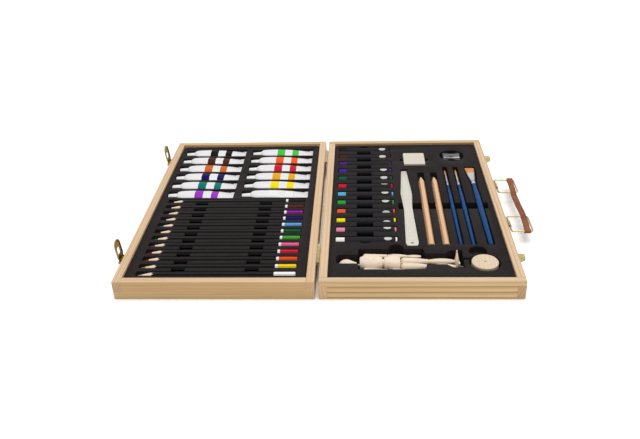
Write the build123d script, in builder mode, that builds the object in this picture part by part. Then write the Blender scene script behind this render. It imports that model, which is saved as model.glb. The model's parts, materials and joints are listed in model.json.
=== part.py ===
from build123d import *
import os
from math import cos, radians, sin

# An acrylic painting set in a hinged wooden case. The case lies open and flat.
# X runs across the two halves, Y runs away from the front and Z is up.
# X = 0 is the middle of the hinge gap, Y = 0 the middle of the case, Z = 0 the table.
# The base is the half with the handle, at +X. The lid is the half with the latches.

os.makedirs("parts", exist_ok=True)

BASE = 1
LID = -1
FRONT = -1
BACK = 1

# Case, both halves
half_height = 22.5
wall = 9.0
hinge_gap = 4.4
rim_gap = 0.4  # left between the rims when the case is shut
panel_thickness = 3.0
panel_rebate = 4.5
base_finger_bottom = 1.4
base_finger_top = 17.0
lid_finger_bottom = 9.5
lid_finger_top = half_height

# Moulded trays
tray_drop = 3.0  # from the rim down to the tray's face
tray_sheet = 0.8
tray_clearance = 0.3
tray_side_land = 7.6  # flat tray left outside the contents
tray_end_land = 3.9
tray_corner = 7.0
pocket_corner = 1.5
tool_pocket_corner = 2.5
seat_gap = 0.3  # under round things that lie in a pocket
end_gap = 1.0  # at the ends of long things in a pocket

# Hinges
hinge_inset = 54.0  # from the ends of the case to the middle of each hinge
hinge_length = 38.0
hinge_leaf_width = 13.0
leaf_thickness = 0.8
knuckle_radius = 2.0
knuckle_count = 5
knuckle_gap = 0.3
hinge_pin_radius = 1.0
running_clearance = 0.05

# Screws
screw_radius = 0.8
screw_length = 7.0
plate_screw_rise = 2.6  # above the lower edge of a plate
screw_head_radius = 1.7
screw_head_height = 0.9
hinge_screw_pitch = 13.0

# Latches on the lid and catches on the base
latch_inset = 54.0
latch_plate_width = 16.0
latch_plate_height = 12.0
latch_plate_top = 1.5  # below the rim
fitting_thickness = 0.8
latch_pivot_out = 4.7
latch_pivot_drop = 6.0
latch_pin_radius = 0.8
plate_corner = 1.5
latch_barrel_radius = 1.6
latch_ear_gap = 0.2
loop_lean = 6.0  # degrees outward as it stands open
loop_length = 26.0
loop_width = 13.0
loop_thickness = 1.2
window_width = 8.0
window_start = 8.0
window_end = 16.5
window_corner = 1.2
loop_tip_gap = 0.5  # the round tip is this much narrower on each side
catch_width = 16.0
catch_height = 12.0
catch_top = 1.5
hook_width = 6.5
hook_out = 4.6
hook_arm = 3.2  # below the rim
hook_end = 12.6
plate_screw_out = 5.5

# Carrying handle
ring_centre_y = 48.5
ring_width = 35.0
ring_reach = 25.0
ring_wire_radius = 1.0
ring_axis_out = 4.6
ring_axis_z = 15.0
ring_corner = 3.0
bracket_width = 12.0
bracket_height = 14.0
bracket_wall = 0.8
bracket_screw_z = 4.9
strap_width = 7.5
strap_leather = 1.6
strap_clearance = 0.1

# Paint tubes, two columns of six in the lid
tube_rows = 6
tube_back_y = 150.0
tube_pitch = 25.1
tube_end_x = -20.7  # crimped end of the inner column
tube_column_gap = 10.6
tube_length = 87.0
cap_length = 11.5
cap_radius = 5.3
cap_end_wall = 2.0
cap_taper = 0.84
neck_radius = 3.0
thread_clearance = 0.1
shoulder_length = 8.0
tube_half_width = 9.6
tube_half_height = 7.7
crimp_width = 22.0
crimp_thickness = 1.6
crimp_length = 4.5
tube_axis_z = 14.6
tube_pocket_gap = 0.4
cap_pocket_gap = 2.4

# Colour pencils, twelve in the lid
pencil_count = 12
pencil_tube_land = 2.77  # between the tubes' pockets and the pencils' troughs
pencil_pitch = 15.0
pencil_end_x = -24.0
pencil_length = 175.3
pencil_cone = 18.5
lead_radius = 0.4  # at the point
pencil_flats = 6.6
pencil_axis_z = 16.8
pencil_pocket_gap = 0.6
pencil_tip_gap = 2.0
finger_channel_width = 16.0  # the two channels for fingers, under the pencils
outer_channel_inset = 43.8  # from the pencils' points
inner_channel_inset = 49.0  # from their blunt ends
finger_channel_floor = 9.0

# Oil pastels, twelve in the base
pastel_back_y = 156.9
pastel_pitch = 22.3
pastel_x = 18.4
pastel_length = 72.0
pastel_radius = 5.0
wrapper_thickness = 0.4
wrapper_start = 10.5
wrapper_end = 69.0
pastel_axis_z = 15.6
pastel_pocket_gap = 0.6
channel_inset = 34.6  # from the pastels' left ends
channel_width = 20.0
channel_corner = 9.8
channel_end_gap = 9.9  # past the axes of the first and last pastels
channel_floor = 5.6

# Eraser and sharpener
eraser_x = 123.2
eraser_y = 121.0
eraser_width = 29.5
eraser_depth = 35.0
eraser_height = 12.0
eraser_floor = 10.0
eraser_corner = 2.0
eraser_edge = 1.2
eraser_notch_radius = 4.0
eraser_notch_out = 1.5
eraser_pocket_gap = 0.5
sharpener_x = 177.0
sharpener_y = 134.0
sharpener_recess_radius = 17.0
sharpener_floor = 9.0
sharpener_length = 24.5
sharpener_width = 15.0
sharpener_height = 11.0
sharpener_low_side = 7.5
grip_radius = 16.0
grip_depth = 1.6
sharpener_bore_radius = 3.1
sharpener_bore_taper = 6.0  # degrees
sharpener_bore_share = 0.8  # of the length
sharpener_bore_rise = 0.6
blade_length = 22.0
blade_width = 9.0
blade_thickness = 0.6
sharpener_screw_radius = 2.6
sharpener_screw_head = 1.0

# Palette knife
knife_x = 107.3
knife_eraser_gap = 13.5
knife_length = 193.0
knife_neck = 88.3  # from the handle's end
knife_belly = 128.0
knife_hole_inset = 6.0
knife_tip_half = 3.6
knife_neck_half = 5.2
knife_wide_half = 7.4
knife_floor = 15.8
blade_plate = 1.6
knife_handle_thickness = 3.4
knife_pocket_gap = 0.8
knife_hole_radius = 1.6
knife_corner = 2.0
knife_end_share = 0.8  # of its widest part

# Graphite pencils
graphite_x = 129.3
graphite_pitch = 17.2
graphite_length = 174.5
tool_end_inset = 2.0  # pencils and brushes end this far behind the knife
graphite_cone = 17.0
graphite_flats = 7.0
graphite_axis_z = 17.0
graphite_recess = 8.0

# Brushes: x, then handle radius and ferrule radius of each
brush_xs = (163.3, 177.6, 197.2)
brush_handle_radii = (2.3, 2.5, 3.4)
brush_ferrule_radii = (1.5, 1.8, 2.6)
brush_belly = 35.0  # from the ferrule to the thickest place
brush_end_share = 0.55
brush_floor = 13.6
handle_length = 149.5
round_ferrule_length = 30.5
round_bristle_length = 15.0
flat_ferrule_length = 32.5
flat_bristle_length = 15.5
flat_brush_width = 12.5
flat_brush_thickness = 2.6
flat_ferrule_narrowing = 1.0  # each side, against the bristles' ends
flat_bristle_thinning = 0.6
bristle_inset = 0.2
ferrule_taper = 0.7
tuft_neck_share = 0.65  # of the ferrule
brush_pocket_gap = 1.2
cross_slot_inset = 92.0  # from the knife's end
cross_slot_width = 15.8
cross_slot_start = 95.0
cross_slot_end = 207.0
cross_slot_floor = 8.0

# Jointed wooden figure, lying on its back with its head toward the hinge
figure_tool_land = 7.5  # between the figure's pocket and the tools
figure_channel_land = 12.2
figure_half = 20.5
head_half = 9.0
head_pocket_corner = 6.0
head_end_gap = 3.0
hand_end_gap = 2.5
pocket_step = 2.0
leg_half = 10.5
foot_half = 17.5
foot_pocket_front = 6.0
foot_pocket_back = 6.5
rod_trough_half = 2.2
figure_notch_x = 88.0
figure_notch_radius = 9.0
figure_notch_out = 1.0
head_start = 22.5
head_length = 20.5
head_radius = 6.3
head_z = 11.5
head_face_radius = 2.8
neck_ball_radius = 1.8
neck_seat = 0.8  # the ball's middle lies this deep in the head
neck_post_share = 0.5  # of the ball
neck_pin_half = 2.3
neck_pin_radius = 0.7
chest_start = 46.5
chest_end = 71.5
chest_half_width = 10.3
chest_half_height = 8.8
waist_radius = 5.0
pelvis_start = 74.0
pelvis_end = 91.5
pelvis_half_width = 10.0
pelvis_half_height = 8.0
hip_x = 96.5
hip_tongue = 1.0
hip_tongue_radius = 2.2
hip_pin_reach = 1.5  # past the middle of the thigh's ball
leg_spread = 5.3
leg_z = 12.0
thigh_radius = 4.6
thigh_end = 120.8
knee_radius = 3.0
knee_end = 124.0
calf_radius = 3.4
ankle_x = 152.5
ankle_radius = 2.0
foot_x = 155.5
foot_splay = 35.0
toe_reach = 13.0
heel_reach = 5.0
foot_half_width = 3.3
foot_half_thickness = 2.5
shoulder_x = 53.0
arm_spread = 14.6
arm_z = 13.0
arm_radius = 3.1
elbow_x = 80.0
elbow_radius = 2.5
elbow_tongue = 1.2
elbow_pin_radius = 0.7
wrist_x = 101.0
hand_end = 116.0
joint_pin_radius = 1.3
joint_gap = 0.3
rod_radius = 1.0
rod_end = 168.5
disc_x = 184.4
disc_drop = 7.5  # in front of the figure's axis
disc_radius = 14.8
disc_thickness = 9.0
disc_top = 21.0
disc_edge = 1.2
disc_pocket_gap = 2.6
disc_notch_radius = 10.5
disc_notch_aside = -4.6
disc_notch_out = 7.6

# Rows in the lid: tubes from the back, then pencils
tube_right_x = tube_end_x - tube_length
tube_left_x = tube_right_x - tube_column_gap - tube_length
tube_ys = [tube_back_y - row * tube_pitch for row in range(tube_rows)]
pencil_tip_x = pencil_end_x - pencil_length
trough_half = pencil_flats / 2 / cos(radians(30)) + pencil_pocket_gap
pencil_back_y = tube_ys[-1] - crimp_width / 2 - tube_pocket_gap - pencil_tube_land - trough_half
pencil_ys = [pencil_back_y - row * pencil_pitch for row in range(pencil_count)]

# Rows in the base: pastels beside the tools, and the figure in front of both
pastel_ys = [pastel_back_y - row * pastel_pitch for row in range(pencil_count)]
channel_x = pastel_x + channel_inset
channel_front_y = pastel_ys[-1] - channel_end_gap
channel_back_y = pastel_back_y + channel_end_gap
knife_tip_y = eraser_y - eraser_depth / 2 - knife_eraser_gap
knife_end_y = knife_tip_y - knife_length
graphite_end_y = knife_end_y + tool_end_inset
graphite_tip_y = graphite_end_y + graphite_length
brush_end_y = knife_end_y + tool_end_inset
ferrule_front_y = brush_end_y + handle_length
round_ferrule_back_y = ferrule_front_y + round_ferrule_length
round_bristle_tip_y = round_ferrule_back_y + round_bristle_length
flat_ferrule_back_y = ferrule_front_y + flat_ferrule_length
flat_bristle_tip_y = flat_ferrule_back_y + flat_bristle_length
cross_slot_y = knife_end_y + cross_slot_inset
figure_back_y = min(knife_end_y - figure_tool_land, channel_front_y - figure_channel_land)
figure_y = figure_back_y - figure_half
disc_y = figure_y - disc_drop

# The case is as large as its contents need
inner_face = hinge_gap / 2
lid_reach = -min(tube_left_x, pencil_tip_x)
base_reach = max(brush_xs[2] + flat_brush_width / 2, disc_x + disc_radius)
outer_face = max(lid_reach, base_reach) + tray_side_land + tray_clearance + wall
half_width = outer_face - inner_face
front_reach = max(trough_half - pencil_ys[-1], figure_half - figure_y)
back_reach = max(channel_back_y, tube_back_y + crimp_width / 2, eraser_y + eraser_depth / 2)
case_depth = 2 * (max(front_reach, back_reach) + tray_end_land + tray_clearance + wall)
hinge_y = case_depth / 2 - hinge_inset
latch_y = case_depth / 2 - latch_inset

# Other values that follow from the sizes above
half_centre = (inner_face + outer_face) / 2
axis_z = half_height + rim_gap / 2
tray_top = half_height - tray_drop
tray_width = half_width - 2 * (wall + tray_clearance)
tray_depth = case_depth - 2 * (wall + tray_clearance)
deep_floor = panel_thickness + tray_sheet
neck_x = head_start + head_length - neck_seat
rod_z = leg_z - hip_tongue_radius - rod_radius - joint_gap


def save(builder, name):
    """Labels a finished piece and writes it to its own file."""
    builder.part.label = name
    export_step(builder.part, f"parts/{name}.step")


def along_x(x, y, z):
    """A plane whose normal runs along +X, for sections of pieces that lie along X."""
    return Plane(origin=(x, y, z), x_dir=(0, 1, 0), z_dir=(1, 0, 0))


def along_y(x, y, z):
    """A plane whose normal runs along +Y, with X to its right."""
    return Plane(origin=(x, y, z), x_dir=(1, 0, 0), z_dir=(0, 1, 0))


# Screws, drawn with the head's seat at Z = 0 and the shank going down
with BuildPart() as flush_screw:
    with BuildSketch(Plane.XZ):
        with BuildLine():
            Polyline(
                (0, 0),
                (screw_head_radius, 0),
                (screw_radius, -leaf_thickness),
                (screw_radius, -screw_length),
                (0, -screw_length),
                close=True,
            )
        make_face()
    revolve(axis=Axis.Z)

with BuildPart() as dome_screw:
    with BuildSketch(Plane.XZ):
        with BuildLine():
            ThreePointArc(
                (0, screw_head_height),
                (screw_head_radius * 0.7, screw_head_height * 0.7),
                (screw_head_radius, 0),
            )
            Polyline(
                (screw_head_radius, 0),
                (screw_radius, 0),
                (screw_radius, -screw_length),
                (0, -screw_length),
                (0, screw_head_height),
            )
        make_face()
    revolve(axis=Axis.Z)


def hinge_screw_planes(side):
    """Where the hinge leaf screws of one half sit, pointing into its hinge rail."""
    x = side * (inner_face - leaf_thickness)
    z = axis_z - (hinge_leaf_width + knuckle_radius) / 2
    for hinge in (FRONT, BACK):
        for step in (-1, 0, 1):
            y = hinge * hinge_y + step * hinge_screw_pitch
            yield Plane(origin=(x, y, z), x_dir=(0, 1, 0), z_dir=(-side, 0, 0))


def fitting_screw_planes(side):
    """Screws of the latch plates or of the catches and handle brackets."""
    x = side * (outer_face + fitting_thickness)
    top = catch_top if side == BASE else latch_plate_top
    height = catch_height if side == BASE else latch_plate_height
    z = half_height - top - height + plate_screw_rise
    for place in (FRONT, BACK):
        for step in (-1, 1):
            y = place * latch_y + step * plate_screw_out
            yield Plane(origin=(x, y, z), x_dir=(0, 1, 0), z_dir=(side, 0, 0))


def bracket_screw_planes():
    """Two screws in each handle bracket, above and below the ring's wire."""
    x = outer_face + bracket_wall
    for place in (FRONT, BACK):
        for step in (-1, 1):
            z = ring_axis_z + step * bracket_screw_z
            yield Plane(origin=(x, place * ring_centre_y, z), x_dir=(0, 1, 0), z_dir=(1, 0, 0))


def corner_places(side, ends):
    """Centres of the square corner blocks of one half, at the given Y ends."""
    for x in (inner_face + wall / 2, outer_face - wall / 2):
        for end in ends:
            yield (side * x, end * (case_depth - wall) / 2)


def end_rail(side, end, finger_bottom, finger_top, panel):
    """Front or back rail, seated on the panel, with room for the side rails' fingers."""
    with BuildPart() as rail:
        with BuildSketch():
            with Locations((side * half_centre, end * (case_depth - wall) / 2)):
                Rectangle(half_width, wall)
        extrude(amount=half_height)
        with BuildSketch(Plane.XY.offset(finger_bottom)):
            with Locations(*corner_places(side, (end,))):
                Rectangle(wall, wall)
        extrude(amount=finger_top - finger_bottom, mode=Mode.SUBTRACT)
        add(panel.part, mode=Mode.SUBTRACT)
    return rail


def side_rail(side, centre_x, finger_bottom, finger_top, panel, screw_holes):
    """Hinge, handle or latch rail, with a finger at each end and its screw holes."""
    with BuildPart() as rail:
        with BuildSketch():
            with Locations((side * centre_x, 0)):
                Rectangle(wall, case_depth - 2 * wall)
        extrude(amount=half_height)
        with BuildSketch(Plane.XY.offset(finger_bottom)):
            with Locations((side * centre_x, 0)):
                Rectangle(wall, case_depth)
        extrude(amount=finger_top - finger_bottom)
        add(panel.part, mode=Mode.SUBTRACT)
        for shape, planes in screw_holes:
            with Locations(*planes):
                add(shape.part, mode=Mode.SUBTRACT)
    return rail


def outer_panel(side):
    """The thin board that closes a half, let into the rails all round."""
    frame = 2 * (wall - panel_rebate)
    with BuildPart() as panel:
        with BuildSketch():
            with Locations((side * half_centre, 0)):
                Rectangle(half_width - frame, case_depth - frame)
        extrude(amount=panel_thickness)
    return panel


hinge_rail_x = inner_face + wall / 2
outer_rail_x = outer_face - wall / 2
halves = (
    ("base", BASE, base_finger_bottom, base_finger_top, "handle"),
    ("lid", LID, lid_finger_bottom, lid_finger_top, "latch"),
)
for half, side, finger_bottom, finger_top, outer_name in halves:
    panel = outer_panel(side)
    save(panel, f"{half}_panel")
    for end, place in ((FRONT, "front"), (BACK, "back")):
        save(end_rail(side, end, finger_bottom, finger_top, panel), f"{half}_{place}_rail")

    holes = [(flush_screw, list(hinge_screw_planes(side)))]
    rail = side_rail(side, hinge_rail_x, finger_bottom, finger_top, panel, holes)
    save(rail, f"{half}_hinge_rail")

    holes = [(dome_screw, list(fitting_screw_planes(side)))]
    if side == BASE:
        holes.append((dome_screw, list(bracket_screw_planes())))
    rail = side_rail(side, outer_rail_x, finger_bottom, finger_top, panel, holes)
    save(rail, f"{half}_{outer_name}_rail")


# Tray pockets: each is an outline, drawn with some growth all round, and a floor
def box_pocket(x0, x1, y0, y1, corner=pocket_corner):
    """A rectangular pocket outline with round corners."""

    def draw(grow):
        with Locations(((x0 + x1) / 2, (y0 + y1) / 2)):
            RectangleRounded(x1 - x0 + 2 * grow, y1 - y0 + 2 * grow, corner + grow)

    return draw


def disc_pocket(x, y, radius):
    """A round pocket outline."""

    def draw(grow):
        with Locations((x, y)):
            Circle(radius + grow)

    return draw


def shaped_pocket(points, corner=pocket_corner):
    """A pocket outline through the given corners, each rounded."""

    def draw(grow):
        with BuildSketch(mode=Mode.PRIVATE) as shape:
            with BuildLine():
                Polyline(*points, close=True)
            make_face()
            fillet(shape.vertices(), radius=corner)
            if grow:
                offset(amount=grow)
        add(shape.sketch)

    return draw


def mirrored_outline(stations, centre, along="x"):
    """Closed outline from (place, half width) stations about a centre line."""
    upper = [(place, centre + half) for place, half in stations]
    lower = [(place, centre - half) for place, half in reversed(stations)]
    points = upper + lower
    if along == "y":
        points = [(across, place) for place, across in points]
    return points


def moulded_tray(side, pockets):
    """A thin formed sheet with a skirt down to the panel and a cup for each pocket."""
    centre = (side * half_centre, 0)
    floors = sorted({floor for draw, floor in pockets})
    with BuildPart() as tray:
        with BuildSketch(Plane.XY.offset(panel_thickness)):
            with Locations(centre):
                RectangleRounded(tray_width, tray_depth, tray_corner)
                RectangleRounded(
                    tray_width - 2 * tray_sheet,
                    tray_depth - 2 * tray_sheet,
                    tray_corner - tray_sheet,
                    mode=Mode.SUBTRACT,
                )
        extrude(amount=tray_top - panel_thickness)
        with BuildSketch(Plane.XY.offset(tray_top - tray_sheet)):
            with Locations(centre):
                RectangleRounded(tray_width, tray_depth, tray_corner)
        extrude(amount=tray_sheet)
        for floor in floors:
            with BuildSketch(Plane.XY.offset(floor - tray_sheet)):
                for draw in [draw for draw, depth in pockets if depth == floor]:
                    draw(tray_sheet)
            extrude(amount=tray_top - floor + tray_sheet)
        for floor in floors:
            with BuildSketch(Plane.XY.offset(floor)):
                for draw in [draw for draw, depth in pockets if depth == floor]:
                    draw(0)
            extrude(amount=tray_drop + tray_top - floor, mode=Mode.SUBTRACT)
    return tray


# Lid tray
tube_starts = (tube_left_x, tube_right_x)
tube_floor = tube_axis_z - tube_half_height - seat_gap
body_start = cap_length + shoulder_length
tube_stations = (
    (-tube_pocket_gap * 2, cap_radius + cap_pocket_gap),
    (cap_length - tube_pocket_gap, cap_radius + cap_pocket_gap),
    (body_start, tube_half_width + tube_pocket_gap * 2),
    (tube_length + tube_pocket_gap, crimp_width / 2 + tube_pocket_gap),
)
lid_pockets = []
for start in tube_starts:
    for y in tube_ys:
        stations = [(start + place, half) for place, half in tube_stations]
        lid_pockets.append((shaped_pocket(mirrored_outline(stations, y), 1.0), tube_floor))

pencil_floor = pencil_axis_z - pencil_flats / 2
for y in pencil_ys:
    trough = box_pocket(
        pencil_tip_x - pencil_tip_gap, pencil_end_x + end_gap, y - trough_half, y + trough_half
    )
    lid_pockets.append((trough, pencil_floor))
for x in (pencil_tip_x + outer_channel_inset, pencil_end_x - inner_channel_inset):
    half = finger_channel_width / 2
    channel = box_pocket(x - half, x + half, pencil_ys[-1], pencil_ys[0])
    lid_pockets.append((channel, finger_channel_floor))
save(moulded_tray(LID, lid_pockets), "lid_tray")

# Base tray
base_pockets = []
wrapper_radius = pastel_radius + wrapper_thickness
pastel_floor = pastel_axis_z - wrapper_radius - seat_gap
pastel_half = wrapper_radius + pastel_pocket_gap
for y in pastel_ys:
    trough = box_pocket(
        pastel_x - end_gap, pastel_x + pastel_length + end_gap, y - pastel_half, y + pastel_half
    )
    base_pockets.append((trough, pastel_floor))
channel = box_pocket(
    channel_x - channel_width / 2,
    channel_x + channel_width / 2,
    channel_front_y,
    channel_back_y,
    channel_corner,
)
base_pockets.append((channel, channel_floor))

eraser_pocket = box_pocket(
    eraser_x - eraser_width / 2 - eraser_pocket_gap,
    eraser_x + eraser_width / 2 + eraser_pocket_gap,
    eraser_y - eraser_depth / 2 - eraser_pocket_gap,
    eraser_y + eraser_depth / 2 + 3 * eraser_pocket_gap,
)
base_pockets.append((eraser_pocket, eraser_floor))
for sign in (-1, 1):
    notch_x = eraser_x + sign * (eraser_width / 2 + eraser_notch_out)
    notch = disc_pocket(notch_x, eraser_y, eraser_notch_radius)
    base_pockets.append((notch, eraser_floor))

round_recess = disc_pocket(sharpener_x, sharpener_y, sharpener_recess_radius)
base_pockets.append((round_recess, sharpener_floor))

knife_stations = (
    (knife_tip_y, knife_tip_half),
    (knife_end_y + knife_belly, knife_wide_half),
    (knife_end_y + knife_neck, knife_neck_half),
    (knife_end_y + knife_hole_inset, knife_wide_half),
    (knife_end_y, knife_end_share * knife_wide_half),
)
knife_outline = [(place, half) for place, half in reversed(knife_stations)]
knife_pocket_stations = [(place, half + knife_pocket_gap) for place, half in knife_outline]
knife_pocket_stations[0] = (knife_end_y - knife_pocket_gap, knife_pocket_stations[0][1])
knife_pocket_stations[-1] = (knife_tip_y + 2 * knife_pocket_gap, knife_pocket_stations[-1][1])
knife_points = mirrored_outline(knife_pocket_stations, knife_x, "y")
base_pockets.append((shaped_pocket(knife_points), knife_floor))

graphite_xs = [graphite_x + step * graphite_pitch for step in range(2)]
graphite_floor = graphite_axis_z - graphite_flats / 2
graphite_half = graphite_flats / 2 / cos(radians(30)) + pencil_pocket_gap
for x in graphite_xs:
    trough = box_pocket(
        x - graphite_half,
        x + graphite_half,
        graphite_end_y - end_gap,
        graphite_tip_y + graphite_recess,
        tool_pocket_corner,
    )
    base_pockets.append((trough, graphite_floor))

round_xs = brush_xs[:2]
flat_x = brush_xs[2]
for x, radius in zip(round_xs, brush_handle_radii):
    half = radius + brush_pocket_gap
    back = round_bristle_tip_y + 4 * end_gap
    trough = box_pocket(x - half, x + half, brush_end_y - end_gap, back, tool_pocket_corner)
    base_pockets.append((trough, brush_floor))
flat_handle_half = brush_handle_radii[2] + brush_pocket_gap
flat_head_half = flat_brush_width / 2 + brush_pocket_gap
flat_stations = (
    (brush_end_y - end_gap, flat_handle_half),
    (ferrule_front_y, flat_handle_half),
    (flat_ferrule_back_y - 4 * end_gap, flat_head_half),
    (flat_bristle_tip_y + end_gap, flat_head_half),
)
flat_points = mirrored_outline(flat_stations, flat_x, "y")
base_pockets.append((shaped_pocket(flat_points), brush_floor))

cross_slot = box_pocket(
    cross_slot_start,
    cross_slot_end,
    cross_slot_y - cross_slot_width / 2,
    cross_slot_y + cross_slot_width / 2,
)
base_pockets.append((cross_slot, cross_slot_floor))

figure_stations = (
    (chest_start - pocket_step, figure_half),
    (hand_end + hand_end_gap, figure_half),
    (hand_end + hand_end_gap + pocket_step, leg_half),
    (foot_x - foot_pocket_front - foot_half + leg_half, leg_half + 0.25 * pocket_step),
    (foot_x - foot_pocket_front, foot_half),
    (foot_x + foot_pocket_back, foot_half),
)
figure_points = mirrored_outline(figure_stations, figure_y)
base_pockets.append((shaped_pocket(figure_points, 0.9), deep_floor))
head_pocket = box_pocket(
    head_start - head_end_gap,
    chest_start + head_pocket_corner,
    figure_y - head_half,
    figure_y + head_half,
    head_pocket_corner,
)
base_pockets.append((head_pocket, deep_floor))
figure_notch = disc_pocket(figure_notch_x, figure_back_y + figure_notch_out, figure_notch_radius)
base_pockets.append((figure_notch, deep_floor))
rod_trough = box_pocket(
    foot_x,
    rod_end + end_gap,
    figure_y - rod_trough_half,
    figure_y + rod_trough_half,
    1.0,
)
base_pockets.append((rod_trough, rod_z - rod_radius - seat_gap))
base_pockets.append(
    (disc_pocket(disc_x, disc_y, disc_radius + disc_pocket_gap), disc_top - disc_thickness)
)
disc_notch = disc_pocket(disc_x + disc_notch_aside, disc_y + disc_radius + disc_notch_out, disc_notch_radius)
base_pockets.append((disc_notch, disc_top - disc_thickness))
save(moulded_tray(BASE, base_pockets), "base_tray")


# Hinges
knuckle_length = (hinge_length - (knuckle_count - 1) * knuckle_gap) / knuckle_count
leaf_top = axis_z - knuckle_radius - knuckle_gap
leaf_bottom = axis_z - hinge_leaf_width


def hinge_leaves(side, knuckles):
    """The two leaves on one half, each with its share of the knuckles."""
    leaf_x = side * (inner_face - leaf_thickness / 2)
    with BuildPart() as leaves:
        for hinge in (FRONT, BACK):
            centre = hinge * hinge_y
            front = centre - hinge_length / 2
            with BuildSketch(Plane.XZ.offset(-front)):
                with Locations((leaf_x, (leaf_top + leaf_bottom) / 2)):
                    Rectangle(leaf_thickness, leaf_top - leaf_bottom)
            extrude(amount=-hinge_length)
            for index in knuckles:
                start = front + index * (knuckle_length + knuckle_gap)
                with BuildSketch(Plane.XZ.offset(-start)):
                    with Locations((leaf_x, (leaf_bottom + axis_z) / 2)):
                        Rectangle(leaf_thickness, axis_z - leaf_bottom)
                    with Locations((0, axis_z)):
                        Circle(knuckle_radius)
                extrude(amount=-knuckle_length)
            with BuildSketch(Plane.XZ.offset(-front)):
                with Locations((0, axis_z)):
                    Circle(hinge_pin_radius + running_clearance)
            extrude(amount=-hinge_length, mode=Mode.SUBTRACT)
        with Locations(*hinge_screw_planes(side)):
            add(flush_screw.part, mode=Mode.SUBTRACT)
    return leaves


save(hinge_leaves(BASE, range(0, knuckle_count, 2)), "base_hinge_leaves")
save(hinge_leaves(LID, range(1, knuckle_count, 2)), "lid_hinge_leaves")

with BuildPart() as hinge_pins:
    for hinge in (FRONT, BACK):
        with BuildSketch(Plane.XZ.offset(-(hinge * hinge_y - hinge_length / 2))):
            with Locations((0, axis_z)):
                Circle(hinge_pin_radius)
        extrude(amount=-hinge_length)
save(hinge_pins, "hinge_pins")

with BuildPart() as base_screws:
    with Locations(*hinge_screw_planes(BASE)):
        add(flush_screw.part)
    with Locations(*fitting_screw_planes(BASE), *bracket_screw_planes()):
        add(dome_screw.part)
save(base_screws, "base_screws")

with BuildPart() as lid_screws:
    with Locations(*hinge_screw_planes(LID)):
        add(flush_screw.part)
    with Locations(*fitting_screw_planes(LID)):
        add(dome_screw.part)
save(lid_screws, "lid_screws")


# Latches: a plate with two ears on the lid and a hinged loop on a pin
latch_pivot_x = -(outer_face + latch_pivot_out)
latch_pivot_z = half_height - latch_pivot_drop
ear_inner = loop_width / 2 + latch_ear_gap
lid_face = -outer_face


def latch_plate(y):
    """Screwed plate on the lid's outer rail, with ears that carry the pin."""
    with BuildPart() as plate:
        with BuildSketch(along_x(lid_face, y, half_height - latch_plate_top - latch_plate_height / 2)):
            RectangleRounded(latch_plate_width, latch_plate_height, plate_corner)
        extrude(amount=-fitting_thickness)
        for sign in (-1, 1):
            inner = y + sign * ear_inner
            with BuildSketch(along_y(latch_pivot_x, inner, latch_pivot_z)):
                Circle(latch_barrel_radius)
                with Locations((latch_pivot_out / 2, 0)):
                    Rectangle(latch_pivot_out, 2 * latch_barrel_radius)
            extrude(amount=sign * fitting_thickness)
        with BuildSketch(along_y(latch_pivot_x, y - latch_plate_width / 2, latch_pivot_z)):
            Circle(latch_pin_radius)
        extrude(amount=latch_plate_width, mode=Mode.SUBTRACT)
        with Locations(*fitting_screw_planes(LID)):
            add(dome_screw.part, mode=Mode.SUBTRACT)
    return plate


def latch_loop(y):
    """Pressed loop with a window for the hook and a rounded thumb tab."""
    lean = radians(loop_lean)
    face = Plane(
        origin=(latch_pivot_x, y, latch_pivot_z),
        x_dir=(0, -1, 0),
        z_dir=(-cos(lean), 0, -sin(lean)),
    )
    tip_radius = loop_width / 2 - loop_tip_gap
    with BuildPart() as loop:
        with BuildSketch(face.offset(-loop_thickness / 2)):
            with Locations((0, (loop_length - tip_radius) / 2)):
                Rectangle(loop_width, loop_length - tip_radius)
            with Locations((0, loop_length - tip_radius)):
                Circle(tip_radius)
            with Locations((0, (window_start + window_end) / 2)):
                RectangleRounded(window_width, window_end - window_start, window_corner, mode=Mode.SUBTRACT)
        extrude(amount=loop_thickness)
        with BuildSketch(along_y(latch_pivot_x, y - loop_width / 2, latch_pivot_z)):
            Circle(latch_barrel_radius)
        extrude(amount=loop_width)
        with BuildSketch(along_y(latch_pivot_x, y - loop_width / 2, latch_pivot_z)):
            Circle(latch_pin_radius + running_clearance)
        extrude(amount=loop_width, mode=Mode.SUBTRACT)
    return loop


def catch(y):
    """Plate on the base's outer rail with a hook that the loop snaps behind."""
    with BuildPart() as piece:
        with BuildSketch(along_x(outer_face, y, half_height - catch_top - catch_height / 2)):
            RectangleRounded(catch_width, catch_height, plate_corner)
        extrude(amount=fitting_thickness)
        with BuildSketch(along_y(outer_face, y - hook_width / 2, half_height)) as profile:
            with Locations((hook_out / 2, hook_arm + fitting_thickness / 2)):
                Rectangle(hook_out, fitting_thickness)
            with Locations((hook_out - fitting_thickness / 2, (hook_arm + hook_end) / 2)):
                Rectangle(fitting_thickness, hook_end - hook_arm)
        extrude(amount=hook_width)
        with Locations(*fitting_screw_planes(BASE)):
            add(dome_screw.part, mode=Mode.SUBTRACT)
    return piece


for place, name in ((FRONT, "front"), (BACK, "back")):
    save(latch_plate(place * latch_y), f"{name}_latch_plate")
    save(latch_loop(place * latch_y), f"{name}_latch_loop")
    save(catch(place * latch_y), f"{name}_catch")

with BuildPart() as latch_pins:
    for place in (FRONT, BACK):
        pin_length = 2 * (ear_inner + fitting_thickness)
        start = place * latch_y - pin_length / 2
        with BuildSketch(along_y(latch_pivot_x, start, latch_pivot_z)):
            Circle(latch_pin_radius)
        extrude(amount=pin_length)
save(latch_pins, "latch_pins")


# Carrying handle: two wire rings in brackets, with a leather strap through them
ring_inner_x = outer_face + ring_axis_out
ring_outer_x = ring_inner_x + ring_reach


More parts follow.
